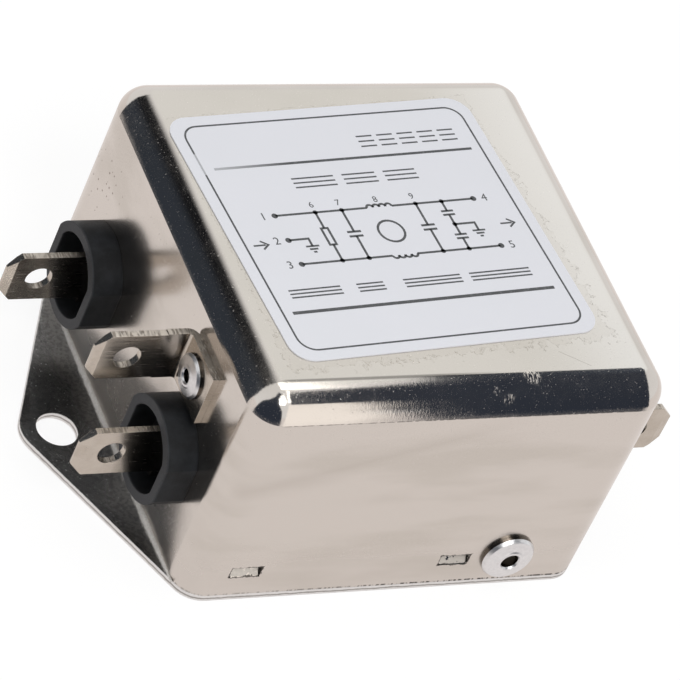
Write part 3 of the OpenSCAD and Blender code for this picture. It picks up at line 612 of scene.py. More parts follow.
# %% Case nickel: rubbed marks
RUBS = (((7.6, -21.4, 30.6), 0.55), ((4.4, -23.3, 29.4), 0.4), ((2.9, -22.6, 29.9), 0.3))
for at, wide in RUBS:
    away = put(tree, "VectorMath", {0: mm, 1: at}, operation="DISTANCE").outputs["Value"]
    rub = put(tree, "MapRange", {"Value": away, "From Min": wide, "From Max": wide * 2.4,
                                 "To Min": 1.0, "To Max": 0.0}, interpolation_type="SMOOTHSTEP")
    streaks = put(tree, "Mapping", {"Vector": mm, "Scale": (6.0, 1.6, 1.6)})
    streaks = put(tree, "TexNoise", {"Vector": streaks, "Scale": 1.0, "Detail": 3.0, "Roughness": 0.6})
    streaks = put(tree, "MapRange", {"Value": streaks,
                                     "From Min": 0.46, "From Max": 0.62}, interpolation_type="SMOOTHSTEP")
    rub = put(tree, "Math", {0: rub, 1: streaks}, operation="MULTIPLY")
    roughness = put(tree, "Math", {0: rub, 1: 0.34, 2: roughness}, operation="MULTIPLY_ADD")
print("rubbed marks:", len(RUBS))

# %% [markdown]
# Dirt sits in the seam between can and plate. It shows as short dark ticks about 0.4 mm long, and there
# are more of them towards the load end. The plate's upper face only gets a light share of the same dirt.

# %% Case nickel: dirt in the seam
ticks = put(tree, "Mapping", {"Vector": mm, "Scale": (2.4, 2.4, 0.3)})
ticks = put(tree, "TexNoise", {"Vector": ticks, "Scale": 1.0, "Detail": 4.0, "Roughness": 0.7})
ticks = put(tree, "MapRange", {"Value": ticks,
                               "From Min": 0.47, "From Max": 0.55}, interpolation_type="SMOOTHSTEP")
seam = put(tree, "Math", {0: place.outputs["Z"], 1: SEAM_Z}, operation="SUBTRACT")
seam = put(tree, "Math", {0: seam}, operation="ABSOLUTE")
seam = put(tree, "MapRange", {"Value": seam, "From Min": 0.08, "From Max": 0.15,
                              "To Min": 1.0, "To Max": 0.0}, interpolation_type="SMOOTHSTEP")
seam = put(tree, "Math", {0: seam, 1: ticks}, operation="MULTIPLY")
most = put(tree, "Math", {0: upright, 1: 0.65, 2: 0.3}, operation="MULTIPLY_ADD")
dirty = put(tree, "MapRange", {"Value": place.outputs["X"], "From Min": -18, "From Max": 6,
                               "To Min": 0.35, "To Max": most}, interpolation_type="SMOOTHSTEP")
seam = put(tree, "Math", {0: seam, 1: dirty}, operation="MULTIPLY")
base = put(tree, "Mix", {0: seam, 6: base, 7: colour("#2E2A26")}, data_type="RGBA").outputs[2]
print("seam at z =", SEAM_Z)

# %% [markdown]
# The tongues that lock the can to the plate were pushed in with a blunt punch. The punch has scuffed them
# bright and rough, and it has torn the sheet round them; the ragged slits are painted dark as painted shade
# in the gaps.

# %% Case nickel: scuffed tongues
from_middle = put(tree, "Math", {0: place.outputs["Y"]}, operation="ABSOLUTE")
pushed_in = put(tree, "Math", {0: from_middle, 1: WALL_OUT}, operation="LESS_THAN")
on_wall = put(tree, "Math", {0: from_middle, 1: WALL_IN}, operation="GREATER_THAN")
deep = put(tree, "Math", {0: pushed_in, 1: on_wall}, operation="MULTIPLY")
same_height = put(tree, "Math", {0: place.outputs["Z"], 1: LANCE_Z, 2: 1.0}, operation="COMPARE")
deep = put(tree, "Math", {0: deep, 1: same_height}, operation="MULTIPLY")
near_first = put(tree, "Math", {0: place.outputs["X"], 1: LANCE_X[0], 2: 2.2}, operation="COMPARE")
near_second = put(tree, "Math", {0: place.outputs["X"], 1: LANCE_X[1], 2: 2.2}, operation="COMPARE")
near_either = put(tree, "Math", {0: near_first, 1: near_second}, operation="ADD")
deep = put(tree, "Math", {0: deep, 1: near_either}, operation="MULTIPLY")
scuffs = put(tree, "TexNoise", {"Vector": mm, "Scale": 2.2, "Detail": 3.0, "Roughness": 0.6})
scuffs = put(tree, "MapRange", {"Value": scuffs,
                                "From Min": 0.34, "From Max": 0.44}, interpolation_type="SMOOTHSTEP")
scuffed = put(tree, "Math", {0: deep, 1: scuffs}, operation="MULTIPLY")
roughness = put(tree, "Math", {0: scuffed, 1: 0.5, 2: roughness}, operation="MULTIPLY_ADD")
base = put(tree, "Mix", {0: scuffed, 6: base, 7: colour("#D3CEC7")}, data_type="RGBA").outputs[2]
print("tongues at x =", LANCE_X)

# %% Case nickel: painted shade in the ragged slits round the tongues
ragged = put(tree, "TexNoise", {"Vector": mm, "Scale": 1.6, "Detail": 5.0, "Roughness": 0.7})
ragged = put(tree, "Math", {0: ragged, 1: 0.9, 2: -0.45}, operation="MULTIPLY_ADD")
above = put(tree, "Math", {0: place.outputs["Z"], 1: LANCE_Z}, operation="SUBTRACT")
above = put(tree, "Math", {0: above}, operation="ABSOLUTE")
above = put(tree, "Math", {0: above, 1: LANCE_HALF[1]}, operation="SUBTRACT")
for at in LANCE_X:
    beside = put(tree, "Math", {0: place.outputs["X"], 1: at}, operation="SUBTRACT")
    beside = put(tree, "Math", {0: beside}, operation="ABSOLUTE")
    beside = put(tree, "Math", {0: beside, 1: LANCE_HALF[0]}, operation="SUBTRACT")
    out_of = put(tree, "Math", {0: beside, 1: above}, operation="MAXIMUM")
    painted_slit_shade = put(tree, "Math", {0: out_of, 1: ragged}, operation="ADD")
    painted_slit_shade = put(tree, "Math", {0: painted_slit_shade}, operation="ABSOLUTE")
    painted_slit_shade = put(tree, "MapRange", {"Value": painted_slit_shade, "From Min": 0.05, "From Max": 0.12,
                                  "To Min": 1.0, "To Max": 0.0}, interpolation_type="SMOOTHSTEP")
    painted_slit_shade = put(tree, "Math", {0: painted_slit_shade, 1: on_wall}, operation="MULTIPLY")
    painted_slit_shade = put(tree, "Math", {0: painted_slit_shade, 1: 0.85}, operation="MULTIPLY")
    base = put(tree, "Mix", {0: painted_slit_shade, 6: base, 7: colour("#2B2724")}, data_type="RGBA").outputs[2]
print("slits round", len(LANCE_X), "tongues on each side")

# %% Case nickel: into the shader
soft = put(tree, "Bevel", {"Radius": 0.12 * MM}, samples=4)
bump = put(tree, "Bump", {"Strength": 1.0, "Distance": MM, "Height": height, "Normal": soft})
for name, value in (("Base Color", base), ("Roughness", roughness.outputs[0]), ("Normal", bump.outputs[0])):
    tree.links.new(value, shader.inputs[name])
print("case nickel nodes:", len(tree.nodes))

# %% [markdown]
# ## Nickel on punched brass
#
# The blades and the ground tab are punched from rolled brass strip and then plated. Rolling leaves a
# faint grain along the strip, so it is satin rather than mirror bright. The punch tears the cut edges,
# which shows as a row of small dark and bright notches about 0.3 mm apart.

# %% Tab nickel: rolled grain and stains
satin_nickel, tree, shader, spot, mm = finish_named("satin_nickel_on_punched_brass", Metallic=1.0)
along_strip = put(tree, "Mapping", {"Vector": mm, "Scale": (0.5, 7.0, 7.0)})
grain = put(tree, "TexNoise", {"Vector": along_strip, "Scale": 1.0, "Detail": 3.0, "Roughness": 0.6})
stain = put(tree, "TexNoise", {"Vector": mm, "Scale": 0.5, "Detail": 4.0, "Roughness": 0.6})
stain = put(tree, "MapRange", {"Value": stain, "From Min": 0.45, "From Max": 0.8})
base = put(tree, "Mix", {0: stain, 6: colour("#C0B8AE"), 7: colour("#B2A99E")}, data_type="RGBA").outputs[2]
roughness = put(tree, "MapRange", {
    "Value": grain,
    "From Min": 0.3,
    "From Max": 0.7,
    "To Min": 0.16,
    "To Max": 0.28,
})
height = put(tree, "Math", {0: grain, 1: 0.0007}, operation="MULTIPLY")
print("rolled grain across the strip in mm:", round(1 / 7.0, 2))

# %% Tab nickel: torn edges
# the blades stand upright, so their cut edges face up or down
up = put(tree, "SeparateXYZ", {0: spot.outputs["Normal"]}).outputs["Z"]
up = put(tree, "Math", {0: up}, operation="ABSOLUTE")
side = put(tree, "Math", {0: up, 1: 0.8}, operation="GREATER_THAN")
along_edge = put(tree, "Mapping", {"Vector": mm, "Scale": (3.4, 0.5, 0.9)})
notch = put(tree, "TexNoise", {"Vector": along_edge, "Scale": 1.0, "Detail": 2.0, "Roughness": 0.7})
notch = put(tree, "MapRange", {"Value": notch, "From Min": 0.50, "From Max": 0.58})
torn = put(tree, "Math", {0: notch, 1: side}, operation="MULTIPLY")
torn_tint = put(tree, "Math", {0: torn, 1: 0.55}, operation="MULTIPLY")
base = put(tree, "Mix", {0: torn_tint, 6: base, 7: colour("#554B42")}, data_type="RGBA").outputs[2]
roughness = put(tree, "Math", {0: side, 1: 0.14, 2: roughness}, operation="MULTIPLY_ADD")
roughness = put(tree, "Math", {0: torn, 1: 0.15, 2: roughness}, operation="MULTIPLY_ADD")
height = put(tree, "Math", {0: torn, 1: -0.04, 2: height}, operation="MULTIPLY_ADD")
soft = put(tree, "Bevel", {"Radius": 0.08 * MM}, samples=4)
bump = put(tree, "Bump", {"Strength": 1.0, "Distance": MM, "Height": height, "Normal": soft})
for name, value in (("Base Color", base), ("Roughness", roughness.outputs[0]), ("Normal", bump.outputs[0])):
    tree.links.new(value, shader.inputs[name])
print("tab nickel nodes:", len(tree.nodes))

# %% [markdown]
# ## Turned aluminium of the rivets
#
# A blind rivet's flange is turned or cold-formed aluminium: pale, satin, with fine rings round its middle.
# The rings need each rivet's own axis, so the material is made once for each rivet. The steel stem that
# broke off inside is darker and rough.

# %% Turned aluminium
def turned_aluminium(name, centre, axis):
    """Satin aluminium with rings 0.35 mm apart round the given axis."""
    material, tree, shader, spot, mm = finish_named(name, Metallic=1.0)
    flat = [0.0 if i == axis else 1.0 for i in range(3)]
    away = put(tree, "VectorMath", {0: mm, 1: centre}, operation="SUBTRACT")
    away = put(tree, "VectorMath", {0: away, 1: flat}, operation="MULTIPLY")
    radius = put(tree, "VectorMath", {0: away}, operation="LENGTH").outputs["Value"]
    turn = put(tree, "Math", {0: radius, 1: 2 * math.pi / 0.35}, operation="MULTIPLY")
    ring = put(tree, "Math", {0: turn}, operation="SINE")
    speck = put(tree, "TexNoise", {"Vector": mm, "Scale": 3.0, "Detail": 3.0, "Roughness": 0.6})
    height = put(tree, "Math", {0: ring, 1: 0.0018}, operation="MULTIPLY")
    height = put(tree, "Math", {0: speck, 1: 0.003, 2: height}, operation="MULTIPLY_ADD")
    base = put(tree, "Mix", {0: speck, 6: colour("#E6E6E7"), 7: colour("#D2D2D4")}, data_type="RGBA")
    roughness = put(tree, "MapRange", {"Value": speck, "From Min": 0.3, "From Max": 0.7,
                                       "To Min": 0.30, "To Max": 0.42})
    # the rolled side of the flange is smoother than its face, and it is painted darker as painted shade and
    # dark reflection
    side = put(tree, "Math", {0: put(tree, "SeparateXYZ", {0: spot.outputs["Normal"]}).outputs[axis]},
               operation="ABSOLUTE")
    side = put(tree, "MapRange", {"Value": side, "From Min": 0.15, "From Max": 0.35,
                                  "To Min": 1.0, "To Max": 0.0})
    base = put(tree, "Mix", {0: side, 6: base.outputs[2], 7: colour("#6E6862")}, data_type="RGBA")
    roughness = put(tree, "Math", {0: side, 1: -0.22, 2: roughness}, operation="MULTIPLY_ADD", use_clamp=True)
    soft = put(tree, "Bevel", {"Radius": 0.12 * MM}, samples=4)
    bump = put(tree, "Bump", {"Strength": 1.0, "Distance": MM, "Height": height, "Normal": soft})
    for socket, value in (("Base Color", base.outputs[2]), ("Roughness", roughness.outputs[0]),
                          ("Normal", bump.outputs[0])):
        tree.links.new(value, shader.inputs[socket])
    return material


print("rings are 0.35 mm apart")

# %% Rivet materials: one for each axis
def middle(node):
    """Middle of a CAD node in millimetres."""
    low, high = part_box(node)
    return (low + high) / 2 / MM


case_aluminium = turned_aluminium("turned_aluminium_case", tuple(middle("case_rivet_stem")), 1)
ground_aluminium = turned_aluminium("turned_aluminium_ground", tuple(middle("ground_rivet_stem")), 0)
print("case rivet axis at", [round(v, 2) for v in middle("case_rivet_stem")])

# %% Steel of the broken stems
stem_steel, tree, shader, spot, mm = finish_named("broken_rivet_steel", Metallic=0.85, Roughness=0.6)
break_grain = put(tree, "TexNoise", {"Vector": mm, "Scale": 4.0, "Detail": 4.0, "Roughness": 0.7})
tint = put(tree, "Mix", {0: break_grain, 6: colour("#CFCDCA"), 7: colour("#9A9793")}, data_type="RGBA")
height = put(tree, "Math", {0: break_grain, 1: 0.06}, operation="MULTIPLY")
bump = put(tree, "Bump", {"Strength": 1.0, "Distance": MM, "Height": height})
tree.links.new(tint.outputs[2], shader.inputs["Base Color"])
tree.links.new(bump.outputs[0], shader.inputs["Normal"])
print("stem steel nodes:", len(tree.nodes))

# %% [markdown]
# ## Black moulded plastic of the bushings
#
# The bushings are moulded from black thermoplastic polyester. The mould was spark-eroded, which leaves a fine
# matt grain of about 0.2 mm. The outer end face of the rim is made a lighter grey.

# %% Bushing plastic
moulded_black, tree, shader, spot, mm = finish_named("moulded_black_polyester", IOR=1.55,
                                                     Specular_IOR_Level=0.15)
place = put(tree, "SeparateXYZ", {0: mm})
rim_x = -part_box("bushing_line_live")[0].x / MM
reach_x = put(tree, "Math", {0: place.outputs["X"]}, operation="ABSOLUTE")
rubbed = put(tree, "MapRange", {"Value": reach_x, "From Min": rim_x - 0.25, "From Max": rim_x - 0.05})
skin = put(tree, "TexNoise", {"Vector": mm, "Scale": 6.0, "Detail": 3.0, "Roughness": 0.7})
cloud = put(tree, "TexNoise", {"Vector": mm, "Scale": 0.35, "Detail": 4.0, "Roughness": 0.6})
cloud = put(tree, "MapRange", {"Value": cloud, "From Min": 0.4, "From Max": 0.7})
base = put(tree, "Mix", {0: cloud, 6: colour("#17181A"), 7: colour("#26282B")}, data_type="RGBA").outputs[2]
rub = put(tree, "Math", {0: rubbed, 1: 0.6}, operation="MULTIPLY")
base = put(tree, "Mix", {0: rub, 6: base, 7: colour("#434447")}, data_type="RGBA").outputs[2]
roughness = put(tree, "MapRange", {"Value": skin, "From Min": 0.3, "From Max": 0.7,
                                   "To Min": 0.42, "To Max": 0.6})
height = put(tree, "Math", {0: skin, 1: 0.004}, operation="MULTIPLY")
soft = put(tree, "Bevel", {"Radius": 0.2 * MM}, samples=4)
bump = put(tree, "Bump", {"Strength": 1.0, "Distance": MM, "Height": height, "Normal": soft})
for name, value in (("Base Color", base), ("Roughness", roughness.outputs[0]), ("Normal", bump.outputs[0])):
    tree.links.new(value, shader.inputs[name])
print("bushing rim at x =", round(rim_x, 2), "mm")

# %% [markdown]
# ## Label film and its ink
#
# The label is a white polyester film with a satin varnish. It is a little cooler than the nickel round it.
# The film follows the sheet under it and so has a very slight waviness. The ink is a dark grey screen
# print, a few hundredths of a millimetre thick, and it has rubbed away a little.

# %% Label film
label_film, tree, shader, spot, mm = finish_named("white_polyester_film", IOR=1.5, Coat_Weight=0.15,
                                                  Coat_Roughness=0.25)
wave = put(tree, "TexNoise", {"Vector": mm, "Scale": 0.12, "Detail": 2.0})
fibre = put(tree, "TexNoise", {"Vector": mm, "Scale": 5.0, "Detail": 2.0})
tint = put(tree, "Mix", {0: wave, 6: colour("#E3E3E8"), 7: colour("#DFE0E4")}, data_type="RGBA")
roughness = put(tree, "MapRange", {"Value": fibre, "From Min": 0.3, "From Max": 0.7,
                                   "To Min": 0.38, "To Max": 0.46})
height = put(tree, "Math", {0: wave, 1: 0.05}, operation="MULTIPLY")
height = put(tree, "Math", {0: fibre, 1: 0.0008, 2: height}, operation="MULTIPLY_ADD")
bump = put(tree, "Bump", {"Strength": 1.0, "Distance": MM, "Height": height})
for name, value in (("Base Color", tint.outputs[2]), ("Roughness", roughness.outputs[0]),
                    ("Normal", bump.outputs[0])):
    tree.links.new(value, shader.inputs[name])
print("film nodes:", len(tree.nodes))

# %% Label ink
# the rule near the title has worn away towards the line end
WORN_Y = (8.5, 11.6)
WORN_X = (-18.0, -9.5)
label_ink, tree, shader, spot, mm = finish_named("grey_screen_ink", IOR=1.5)
rubbed = put(tree, "TexNoise", {"Vector": mm, "Scale": 2.5, "Detail": 4.0, "Roughness": 0.7})
rubbed = put(tree, "MapRange", {"Value": rubbed, "From Min": 0.55, "From Max": 0.85, "To Max": 0.35})
place = put(tree, "SeparateXYZ", {0: mm})
high = put(tree, "Math", {0: place.outputs["Y"], 1: WORN_Y[0]}, operation="GREATER_THAN")
low = put(tree, "Math", {0: place.outputs["Y"], 1: WORN_Y[1]}, operation="LESS_THAN")
left = put(tree, "MapRange", {
    "Value": place.outputs["X"],
    "From Min": WORN_X[0],
    "From Max": WORN_X[1],
    "To Min": 0.7,
    "To Max": 0.0,
})
faded = put(tree, "Math", {0: high, 1: low}, operation="MULTIPLY")
faded = put(tree, "Math", {0: faded, 1: left}, operation="MULTIPLY")
worn = put(tree, "Math", {0: faded, 1: rubbed}, operation="MAXIMUM")
tint = put(tree, "Mix", {0: worn, 6: colour("#414345"), 7: colour("#C9CACD")}, data_type="RGBA")
grain = put(tree, "TexNoise", {"Vector": mm, "Scale": 5.0, "Detail": 2.0})
roughness = put(tree, "MapRange", {"Value": grain, "From Min": 0.3, "From Max": 0.7,
                                   "To Min": 0.4, "To Max": 0.5})
tree.links.new(tint.outputs[2], shader.inputs["Base Color"])
tree.links.new(roughness.outputs[0], shader.inputs["Roughness"])
print("label materials:", label_film.name, label_ink.name)

# %% [markdown]
# ## The parts inside
#
# They are hidden by the can, but anyone who takes the can off sees them, so each gets the finish that it
# has on a workbench: soft grey-green ferrite, copper in clear enamel, an epoxy-coated film capacitor and
# so on. They share one recipe: two close colours mixed by a noise of the right grain, and a bump.

# %% Materials of the parts inside
def workshop_finish(name, light, dark, grain_mm, rough, depth_mm, **uniform):
    """Two close colours in a pattern of the given grain, with a bump of the given depth."""
    material, tree, shader, spot, mm = finish_named(name, **uniform)
    pattern = put(tree, "TexNoise", {"Vector": mm, "Scale": 1 / grain_mm, "Detail": 4.0, "Roughness": 0.6})
    tint = put(tree, "Mix", {0: pattern, 6: colour(light), 7: colour(dark)}, data_type="RGBA")
    roughness = put(tree, "MapRange", {"Value": pattern, "From Min": 0.3, "From Max": 0.7,
                                       "To Min": rough, "To Max": rough + 0.12})
    height = put(tree, "Math", {0: pattern, 1: depth_mm}, operation="MULTIPLY")
    bump = put(tree, "Bump", {"Strength": 1.0, "Distance": MM, "Height": height})
    for socket, value in (("Base Color", tint.outputs[2]), ("Roughness", roughness.outputs[0]),
                          ("Normal", bump.outputs[0])):
        tree.links.new(value, shader.inputs[socket])
    return material


inner = {
    "liner_sheet": workshop_finish("fish_paper_liner", "#C9B58A", "#B39E72", 0.6, 0.6, 0.01, IOR=1.5),
    "filling_resin": workshop_finish("poured_epoxy_resin", "#2B2521", "#3A322B", 3.0, 0.25, 0.05, IOR=1.55),
    "ferrite": workshop_finish("coated_ferrite", "#4D5E50", "#3E4C41", 0.5, 0.4, 0.01, IOR=1.6),
    "divider_nylon": workshop_finish("natural_nylon", "#EDEADF", "#DDD8C8", 1.5, 0.35, 0.004, IOR=1.53),
    "copper_enamel": workshop_finish("enamelled_copper_wire", "#C4703C", "#A85A2E", 1.2, 0.18, 0.004,
                                     Metallic=1.0, Coat_Weight=0.6, Coat_Roughness=0.1),
    "film_cap_yellow": workshop_finish("yellow_polyester_case", "#E8C33A", "#DDB42E", 2.0, 0.3, 0.006,
                                       IOR=1.55),
    "disc_cap_blue": workshop_finish("blue_epoxy_dip", "#2F6FA8", "#285F92", 1.5, 0.22, 0.03, IOR=1.55),
    "resistor_tan": workshop_finish("tan_resistor_lacquer", "#CDB28B", "#BFA277", 1.0, 0.35, 0.01, IOR=1.5),
    "lead_brown": workshop_finish("brown_wire_vinyl", "#6A4128", "#5A3520", 1.0, 0.38, 0.006, IOR=1.53),
    "lead_blue": workshop_finish("blue_wire_vinyl", "#2A5CA8", "#234F93", 1.0, 0.38, 0.006, IOR=1.53),
    "lead_green_yellow": workshop_finish("green_yellow_wire_vinyl", "#4E9A3E", "#D5C92E", 2.4, 0.38, 0.006,
                                         IOR=1.53),
}
print("materials of the parts inside:", len(inner))

# %% [markdown]
# Each CAD node names the slot that it takes its finish from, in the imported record. The slots are matched
# here to the materials above. The two rivets share a slot but have different axes.

# %% Give every CAD node its finish
by_slot = {
    "nickel_case": bright_nickel,
    "nickel_tab": satin_nickel,
    "rivet_steel": stem_steel,
    "bushing_black": moulded_black,
    "label_film": label_film,
    **inner,
}
own = {"case_rivet": case_aluminium, "ground_rivet": ground_aluminium}
slot_of = {part["node"]: part["material_slot"] for part in frame["record"]["subparts"]}
for name, node in nodes.items():
    material = own.get(name) or by_slot[slot_of[name]]
    node.data.materials.clear()
    node.data.materials.append(material)
print("finished CAD nodes:", len(nodes))

# %% [markdown]
# ## The print on the label
#
# The print is ink of real thickness, so it is built as thin raised strips and not painted into the film.
# A helper makes a flat strip between two points, and everything else is made of strips: the frame, the
# two rules, and the circuit in common drawing symbols. An arrow at each end shows which way it is fed.
# Where a maker would print words, plain bars of the same length stand, each built of three fine strips.
# All places are in the label's own millimetres, from its middle.

# %% Drawing with strips
ink_t = 0.012 * MM
ink = bmesh.new()


def strip(points, width, closed=False):
    """A flat strip of the given width along the points, with mitred corners; the print is raised later."""
    pts = [Vector(p) for p in points]
    count = len(pts)
    left, right = [], []
    for i, p in enumerate(pts):
        before = pts[i - 1] if (i or closed) else None
        after = pts[(i + 1) % count] if (i + 1 < count or closed) else None
        into = (p - before).normalized() if before is not None else (after - p).normalized()
        onto = (after - p).normalized() if after is not None else into
        side = Vector((-(into + onto).y, (into + onto).x))
        side = side.normalized() * (width / 2) / max(0.5, side.normalized().dot(Vector((-into.y, into.x))))
        left.append(ink.verts.new((p.x + side.x, p.y + side.y, 0)))
        right.append(ink.verts.new((p.x - side.x, p.y - side.y, 0)))
    pairs = range(count if closed else count - 1)
    for i in pairs:
        j = (i + 1) % count
        ink.faces.new((right[i], right[j], left[j], left[i]))


def arc(cx, cy, r, start, end, steps=16):
    """Points on an arc, angles in degrees."""
    turns = [math.radians(start + (end - start) * i / steps) for i in range(steps + 1)]
    return [(cx + r * math.cos(a), cy + r * math.sin(a)) for a in turns]


def dot(cx, cy, r):
    """A filled round dot."""
    ink.faces.new([ink.verts.new((x, y, 0)) for x, y in arc(cx, cy, r, 0, 345, 23)])


def rounded(l, w, r):
    """Points of a rounded rectangle round the middle."""
    points = []
    for sx, sy, start in ((1, 1, 0), (-1, 1, 90), (-1, -1, 180), (1, -1, 270)):
        points += arc(sx * (l / 2 - r), sy * (w / 2 - r), r, start, start + 90, 8)
    return points


print("ink thickness in mm:", ink_t / MM)

# %% Frame, rules, bars and arrows
FRAME_INSET = 2.9    # twice the distance from the label's edge
strip(rounded(LABEL_L - FRAME_INSET, LABEL_W - FRAME_INSET, 1.9), 0.22, closed=True)
strip([(-16.2, 9.95), (16.3, 9.95)], 0.34)
strip([(-16.4, -11.1), (16.2, -11.1)], 0.42)
# each bar: from x, to x, middle y, height
for x0, x1, y, tall in (
    (2.9, 4.9, 12.3, 1.5), (5.5, 7.5, 12.3, 1.5), (8.1, 10.1, 12.3, 1.5), (10.7, 12.7, 12.3, 1.5),
    (13.3, 15.3, 12.3, 1.5), (-7.8, -2.6, 7.0, 1.3), (-1.5, 2.6, 7.0, 1.3), (3.7, 7.7, 7.0, 1.3),
    (-15.5, -9.2, -8.5, 1.0), (-7.2, -3.9, -8.5, 1.0), (-1.4, 5.7, -8.5, 1.0), (6.9, 14.5, -8.5, 1.0),
):
    for step in (-0.5, 0.0, 0.5):
        strip([(x0, y + step * tall), (x1, y + step * tall)], 0.2)
for x, reach in ((-15.7, 1), (15.2, 1)):
    strip([(x - 0.9, -1.35), (x + 0.55 * reach, -1.35)], 0.22)
    strip([(x + 0.1, -0.75), (x + 0.9, -1.35), (x + 0.1, -1.95)], 0.22)
print("ink faces so far:", len(ink.faces))

# %% [markdown]
# The circuit is that of every one-stage filter: a resistor and a capacitor across the line, a choke with
# its two windings on one ring, then a capacitor across the load and two from the load's wires to ground.

# %% Circuit: wires, choke and resistor
line = 0.28
top_y, low_y, mid_y = 2.6, -4.5, -1.0
strip([(-12.1, top_y), (-0.75, top_y)], line)
strip([(2.35, top_y), (12.7, top_y)], line)
strip([(-12.1, low_y), (-0.95, low_y)], line)
strip([(2.15, low_y), (12.7, low_y)], line)
for i in range(4):
    strip(arc(-0.36 + 0.78 * i, top_y, 0.39, 180, 0, 8), line)
    strip(arc(-0.56 + 0.78 * i, low_y, 0.39, 180, 360, 8), line)
strip(arc(0.6, mid_y, 1.55, 0, 345, 23), line, closed=True)
strip([(-7.2, top_y), (-7.2, 0.25)], line)
strip([(-7.6, 0.25), (-6.8, 0.25), (-6.8, -2.15), (-7.6, -2.15)], line, closed=True)
strip([(-7.2, -2.15), (-7.2, low_y)], line)
print("ink faces so far:", len(ink.faces))

# %% Circuit: capacitors, ground signs and joints
for x in (-3.9, 5.4):
    strip([(x, top_y), (x, -0.6)], line)
    strip([(x - 0.85, -0.6), (x + 0.85, -0.6)], 0.30)
    strip([(x - 0.85, -1.25), (x + 0.85, -1.25)], 0.30)
    strip([(x, -1.25), (x, low_y)], line)
strip([(8.7, top_y), (8.7, 1.15)], line)
strip([(7.95, 1.15), (9.45, 1.15)], 0.28)
strip([(7.95, 0.60), (9.45, 0.60)], 0.28)
strip([(8.7, 0.60), (8.7, -2.35)], line)
strip([(7.95, -2.35), (9.45, -2.35)], 0.28)
strip([(7.95, -2.90), (9.45, -2.90)], 0.28)
strip([(8.7, -2.90), (8.7, low_y)], line)
strip([(8.7, mid_y + 0.15), (11.2, mid_y + 0.15), (11.2, -2.0)], line)
strip([(-12.1, mid_y), (-9.75, mid_y), (-9.75, -2.1)], line)
for x, y in ((11.2, -2.0), (-9.75, -2.1)):
    strip([(x - 0.8, y), (x + 0.8, y)], 0.24)
    strip([(x - 0.5, y - 0.42), (x + 0.5, y - 0.42)], 0.24)
    strip([(x - 0.2, y - 0.84), (x + 0.2, y - 0.84)], 0.24)
for x, y in ((-12.2, top_y), (-12.2, low_y), (-12.2, mid_y), (12.8, top_y), (12.8, low_y)):
    dot(x, y, 0.36)
for x, y in ((-7.2, top_y), (-7.2, low_y), (-3.9, top_y), (-3.9, low_y), (5.4, top_y), (5.4, low_y),
             (8.7, top_y), (8.7, low_y), (8.7, mid_y + 0.15)):
    dot(x, y, 0.30)
print("ink faces so far:", len(ink.faces))

# %% [markdown]
# The terminals and the parts of the circuit are numbered with plain figures, as on a terminal block.
# Blender's own font makes them: a text object is turned into a mesh and copied into the print.

# %% Plain figures
def figure(text, x, y, size):
    """Adds a plain figure with its middle at x, y."""
    curve = bpy.data.curves.new("figure", "FONT")
    curve.body = text
    curve.size = size
    curve.align_x = "CENTER"
    curve.align_y = "CENTER"
    curve.resolution_u = 3
    maker = bpy.data.objects.new("figure", curve)
    mesh = bpy.data.meshes.new_from_object(maker)
    mesh.transform(Matrix.Translation((x, y, 0)))
    ink.from_mesh(mesh)
    bpy.data.meshes.remove(mesh)
    bpy.data.objects.remove(maker)
    bpy.data.curves.remove(curve)


for text, x, y in (("1", -13.6, top_y), ("2", -13.6, mid_y), ("3", -13.6, low_y), ("4", 14.2, top_y),
                   ("5", 14.2, low_y)):
    figure(text, x, y, 1.5)
for text, x, y in (("6", -7.2, 3.7), ("7", -3.9, 3.7), ("8", 0.8, 3.7), ("9", 5.4, 3.7)):
    figure(text, x, y, 1.2)
print("ink faces with the figures:", len(ink.faces))

# %% Raise the print and lay it on the label
label_low, label_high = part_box("label")
flat_faces = list(ink.faces)
raised = bmesh.ops.extrude_face_region(ink, geom=flat_faces)
for part in raised["geom"]:
    if isinstance(part, bmesh.types.BMVert):
        part.co.z = ink_t / MM
turn = Matrix.Rotation(math.radians(LABEL_TURN), 4, "Z")
lay = Matrix.Translation((LABEL_AT[0] * MM, LABEL_AT[1] * MM, label_high.z)) @ turn @ Matrix.Scale(MM, 4)
bmesh.ops.transform(ink, matrix=lay, verts=ink.verts)
bmesh.ops.recalc_face_normals(ink, faces=ink.faces)
print_mesh = bpy.data.meshes.new("label_print")
ink.to_mesh(print_mesh)
ink.free()
label_print = bpy.data.objects.new("label_print", print_mesh)
bpy.context.scene.collection.objects.link(label_print)
print_mesh.materials.append(label_ink)
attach(label_print, "root")
print("label print faces:", len(print_mesh.polygons))

# %% [markdown]
# ## The bead along the can's foot
#
# Where the can stands on an ear of the plate, the plating has filled the corner with a thin uneven bead,
# which catches the light as a bright line. It is a tube whose radius changes a little, laid along the wall
# between the two rounded corners. Its noise is seeded, so every run gives the same bead. Its own finish
# is a rough pale nickel with a 0.3 mm grain, so that it shines from every side.

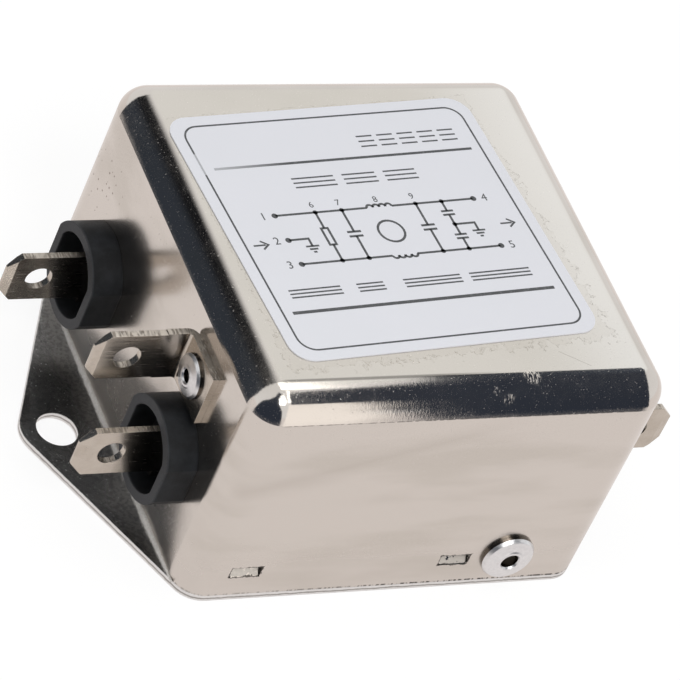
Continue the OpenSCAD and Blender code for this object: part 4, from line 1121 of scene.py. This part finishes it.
# %% Finish of the foot beads
bead_nickel, tree, shader, spot, mm = finish_named("rough_nickel_bead", Metallic=0.35)
lumps = put(tree, "TexNoise", {"Vector": mm, "Scale": 3.2, "Detail": 4.0, "Roughness": 0.7})
tint = put(tree, "Mix", {0: lumps, 6: colour("#F3F0EC"), 7: colour("#B9B2AA")}, data_type="RGBA")
roughness = put(tree, "MapRange", {"Value": lumps, "From Min": 0.3, "From Max": 0.7,
                                   "To Min": 0.42, "To Max": 0.65})
height = put(tree, "Math", {0: lumps, 1: 0.12}, operation="MULTIPLY")
bump = put(tree, "Bump", {"Strength": 1.0, "Distance": MM, "Height": height})
for name, value in (("Base Color", tint.outputs[2]), ("Roughness", roughness.outputs[0]),
                    ("Normal", bump.outputs[0])):
    tree.links.new(value, shader.inputs[name])
print("bead grain in mm:", round(1 / 3.2, 2))

# %% Foot beads
def foot_bead(name, side, seed):
    """Uneven bead on the plate along one end of the can. Side is -1 at the line end."""
    rng = random.Random(seed)
    low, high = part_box("can")
    wall_x = high.x if side > 0 else low.x
    half = (high.y - low.y) / 2 - 2.2 * MM
    count, sides = 150, 8
    bm = bmesh.new()
    rings = []
    drift = 0.0
    for i in range(count + 1):
        y = -half + 2 * half * i / count
        drift = 0.75 * drift + rng.uniform(-0.05, 0.05)
        taper = min(1.0, 6.0 * min(i, count - i) / count)
        r = (0.40 + drift + rng.uniform(-0.02, 0.02)) * MM * (0.35 + 0.65 * taper)
        ring = []
        for k in range(sides):
            a = 2 * math.pi * k / sides
            ring.append(bm.verts.new((wall_x + side * (0.02 * MM + r * math.cos(a)), y,
                                      low.z + 0.05 * MM + r * math.sin(a))))
        rings.append(ring)
    for first, second in zip(rings, rings[1:]):
        for k in range(sides):
            j = (k + 1) % sides
            bm.faces.new((first[k], first[j], second[j], second[k]))
    bm.faces.new(rings[0])
    bm.faces.new(list(reversed(rings[-1])))
    bmesh.ops.recalc_face_normals(bm, faces=bm.faces)
    for f in bm.faces:
        f.smooth = True
    mesh = bpy.data.meshes.new(name)
    bm.to_mesh(mesh)
    bm.free()
    mesh.materials.append(bead_nickel)
    bead = bpy.data.objects.new(name, mesh)
    bpy.context.scene.collection.objects.link(bead)
    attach(bead, "root")
    return bead


beads = [foot_bead("foot_bead_line", -1, 3), foot_bead("foot_bead_load", 1, 8)]
print("beads:", [b.name for b in beads])
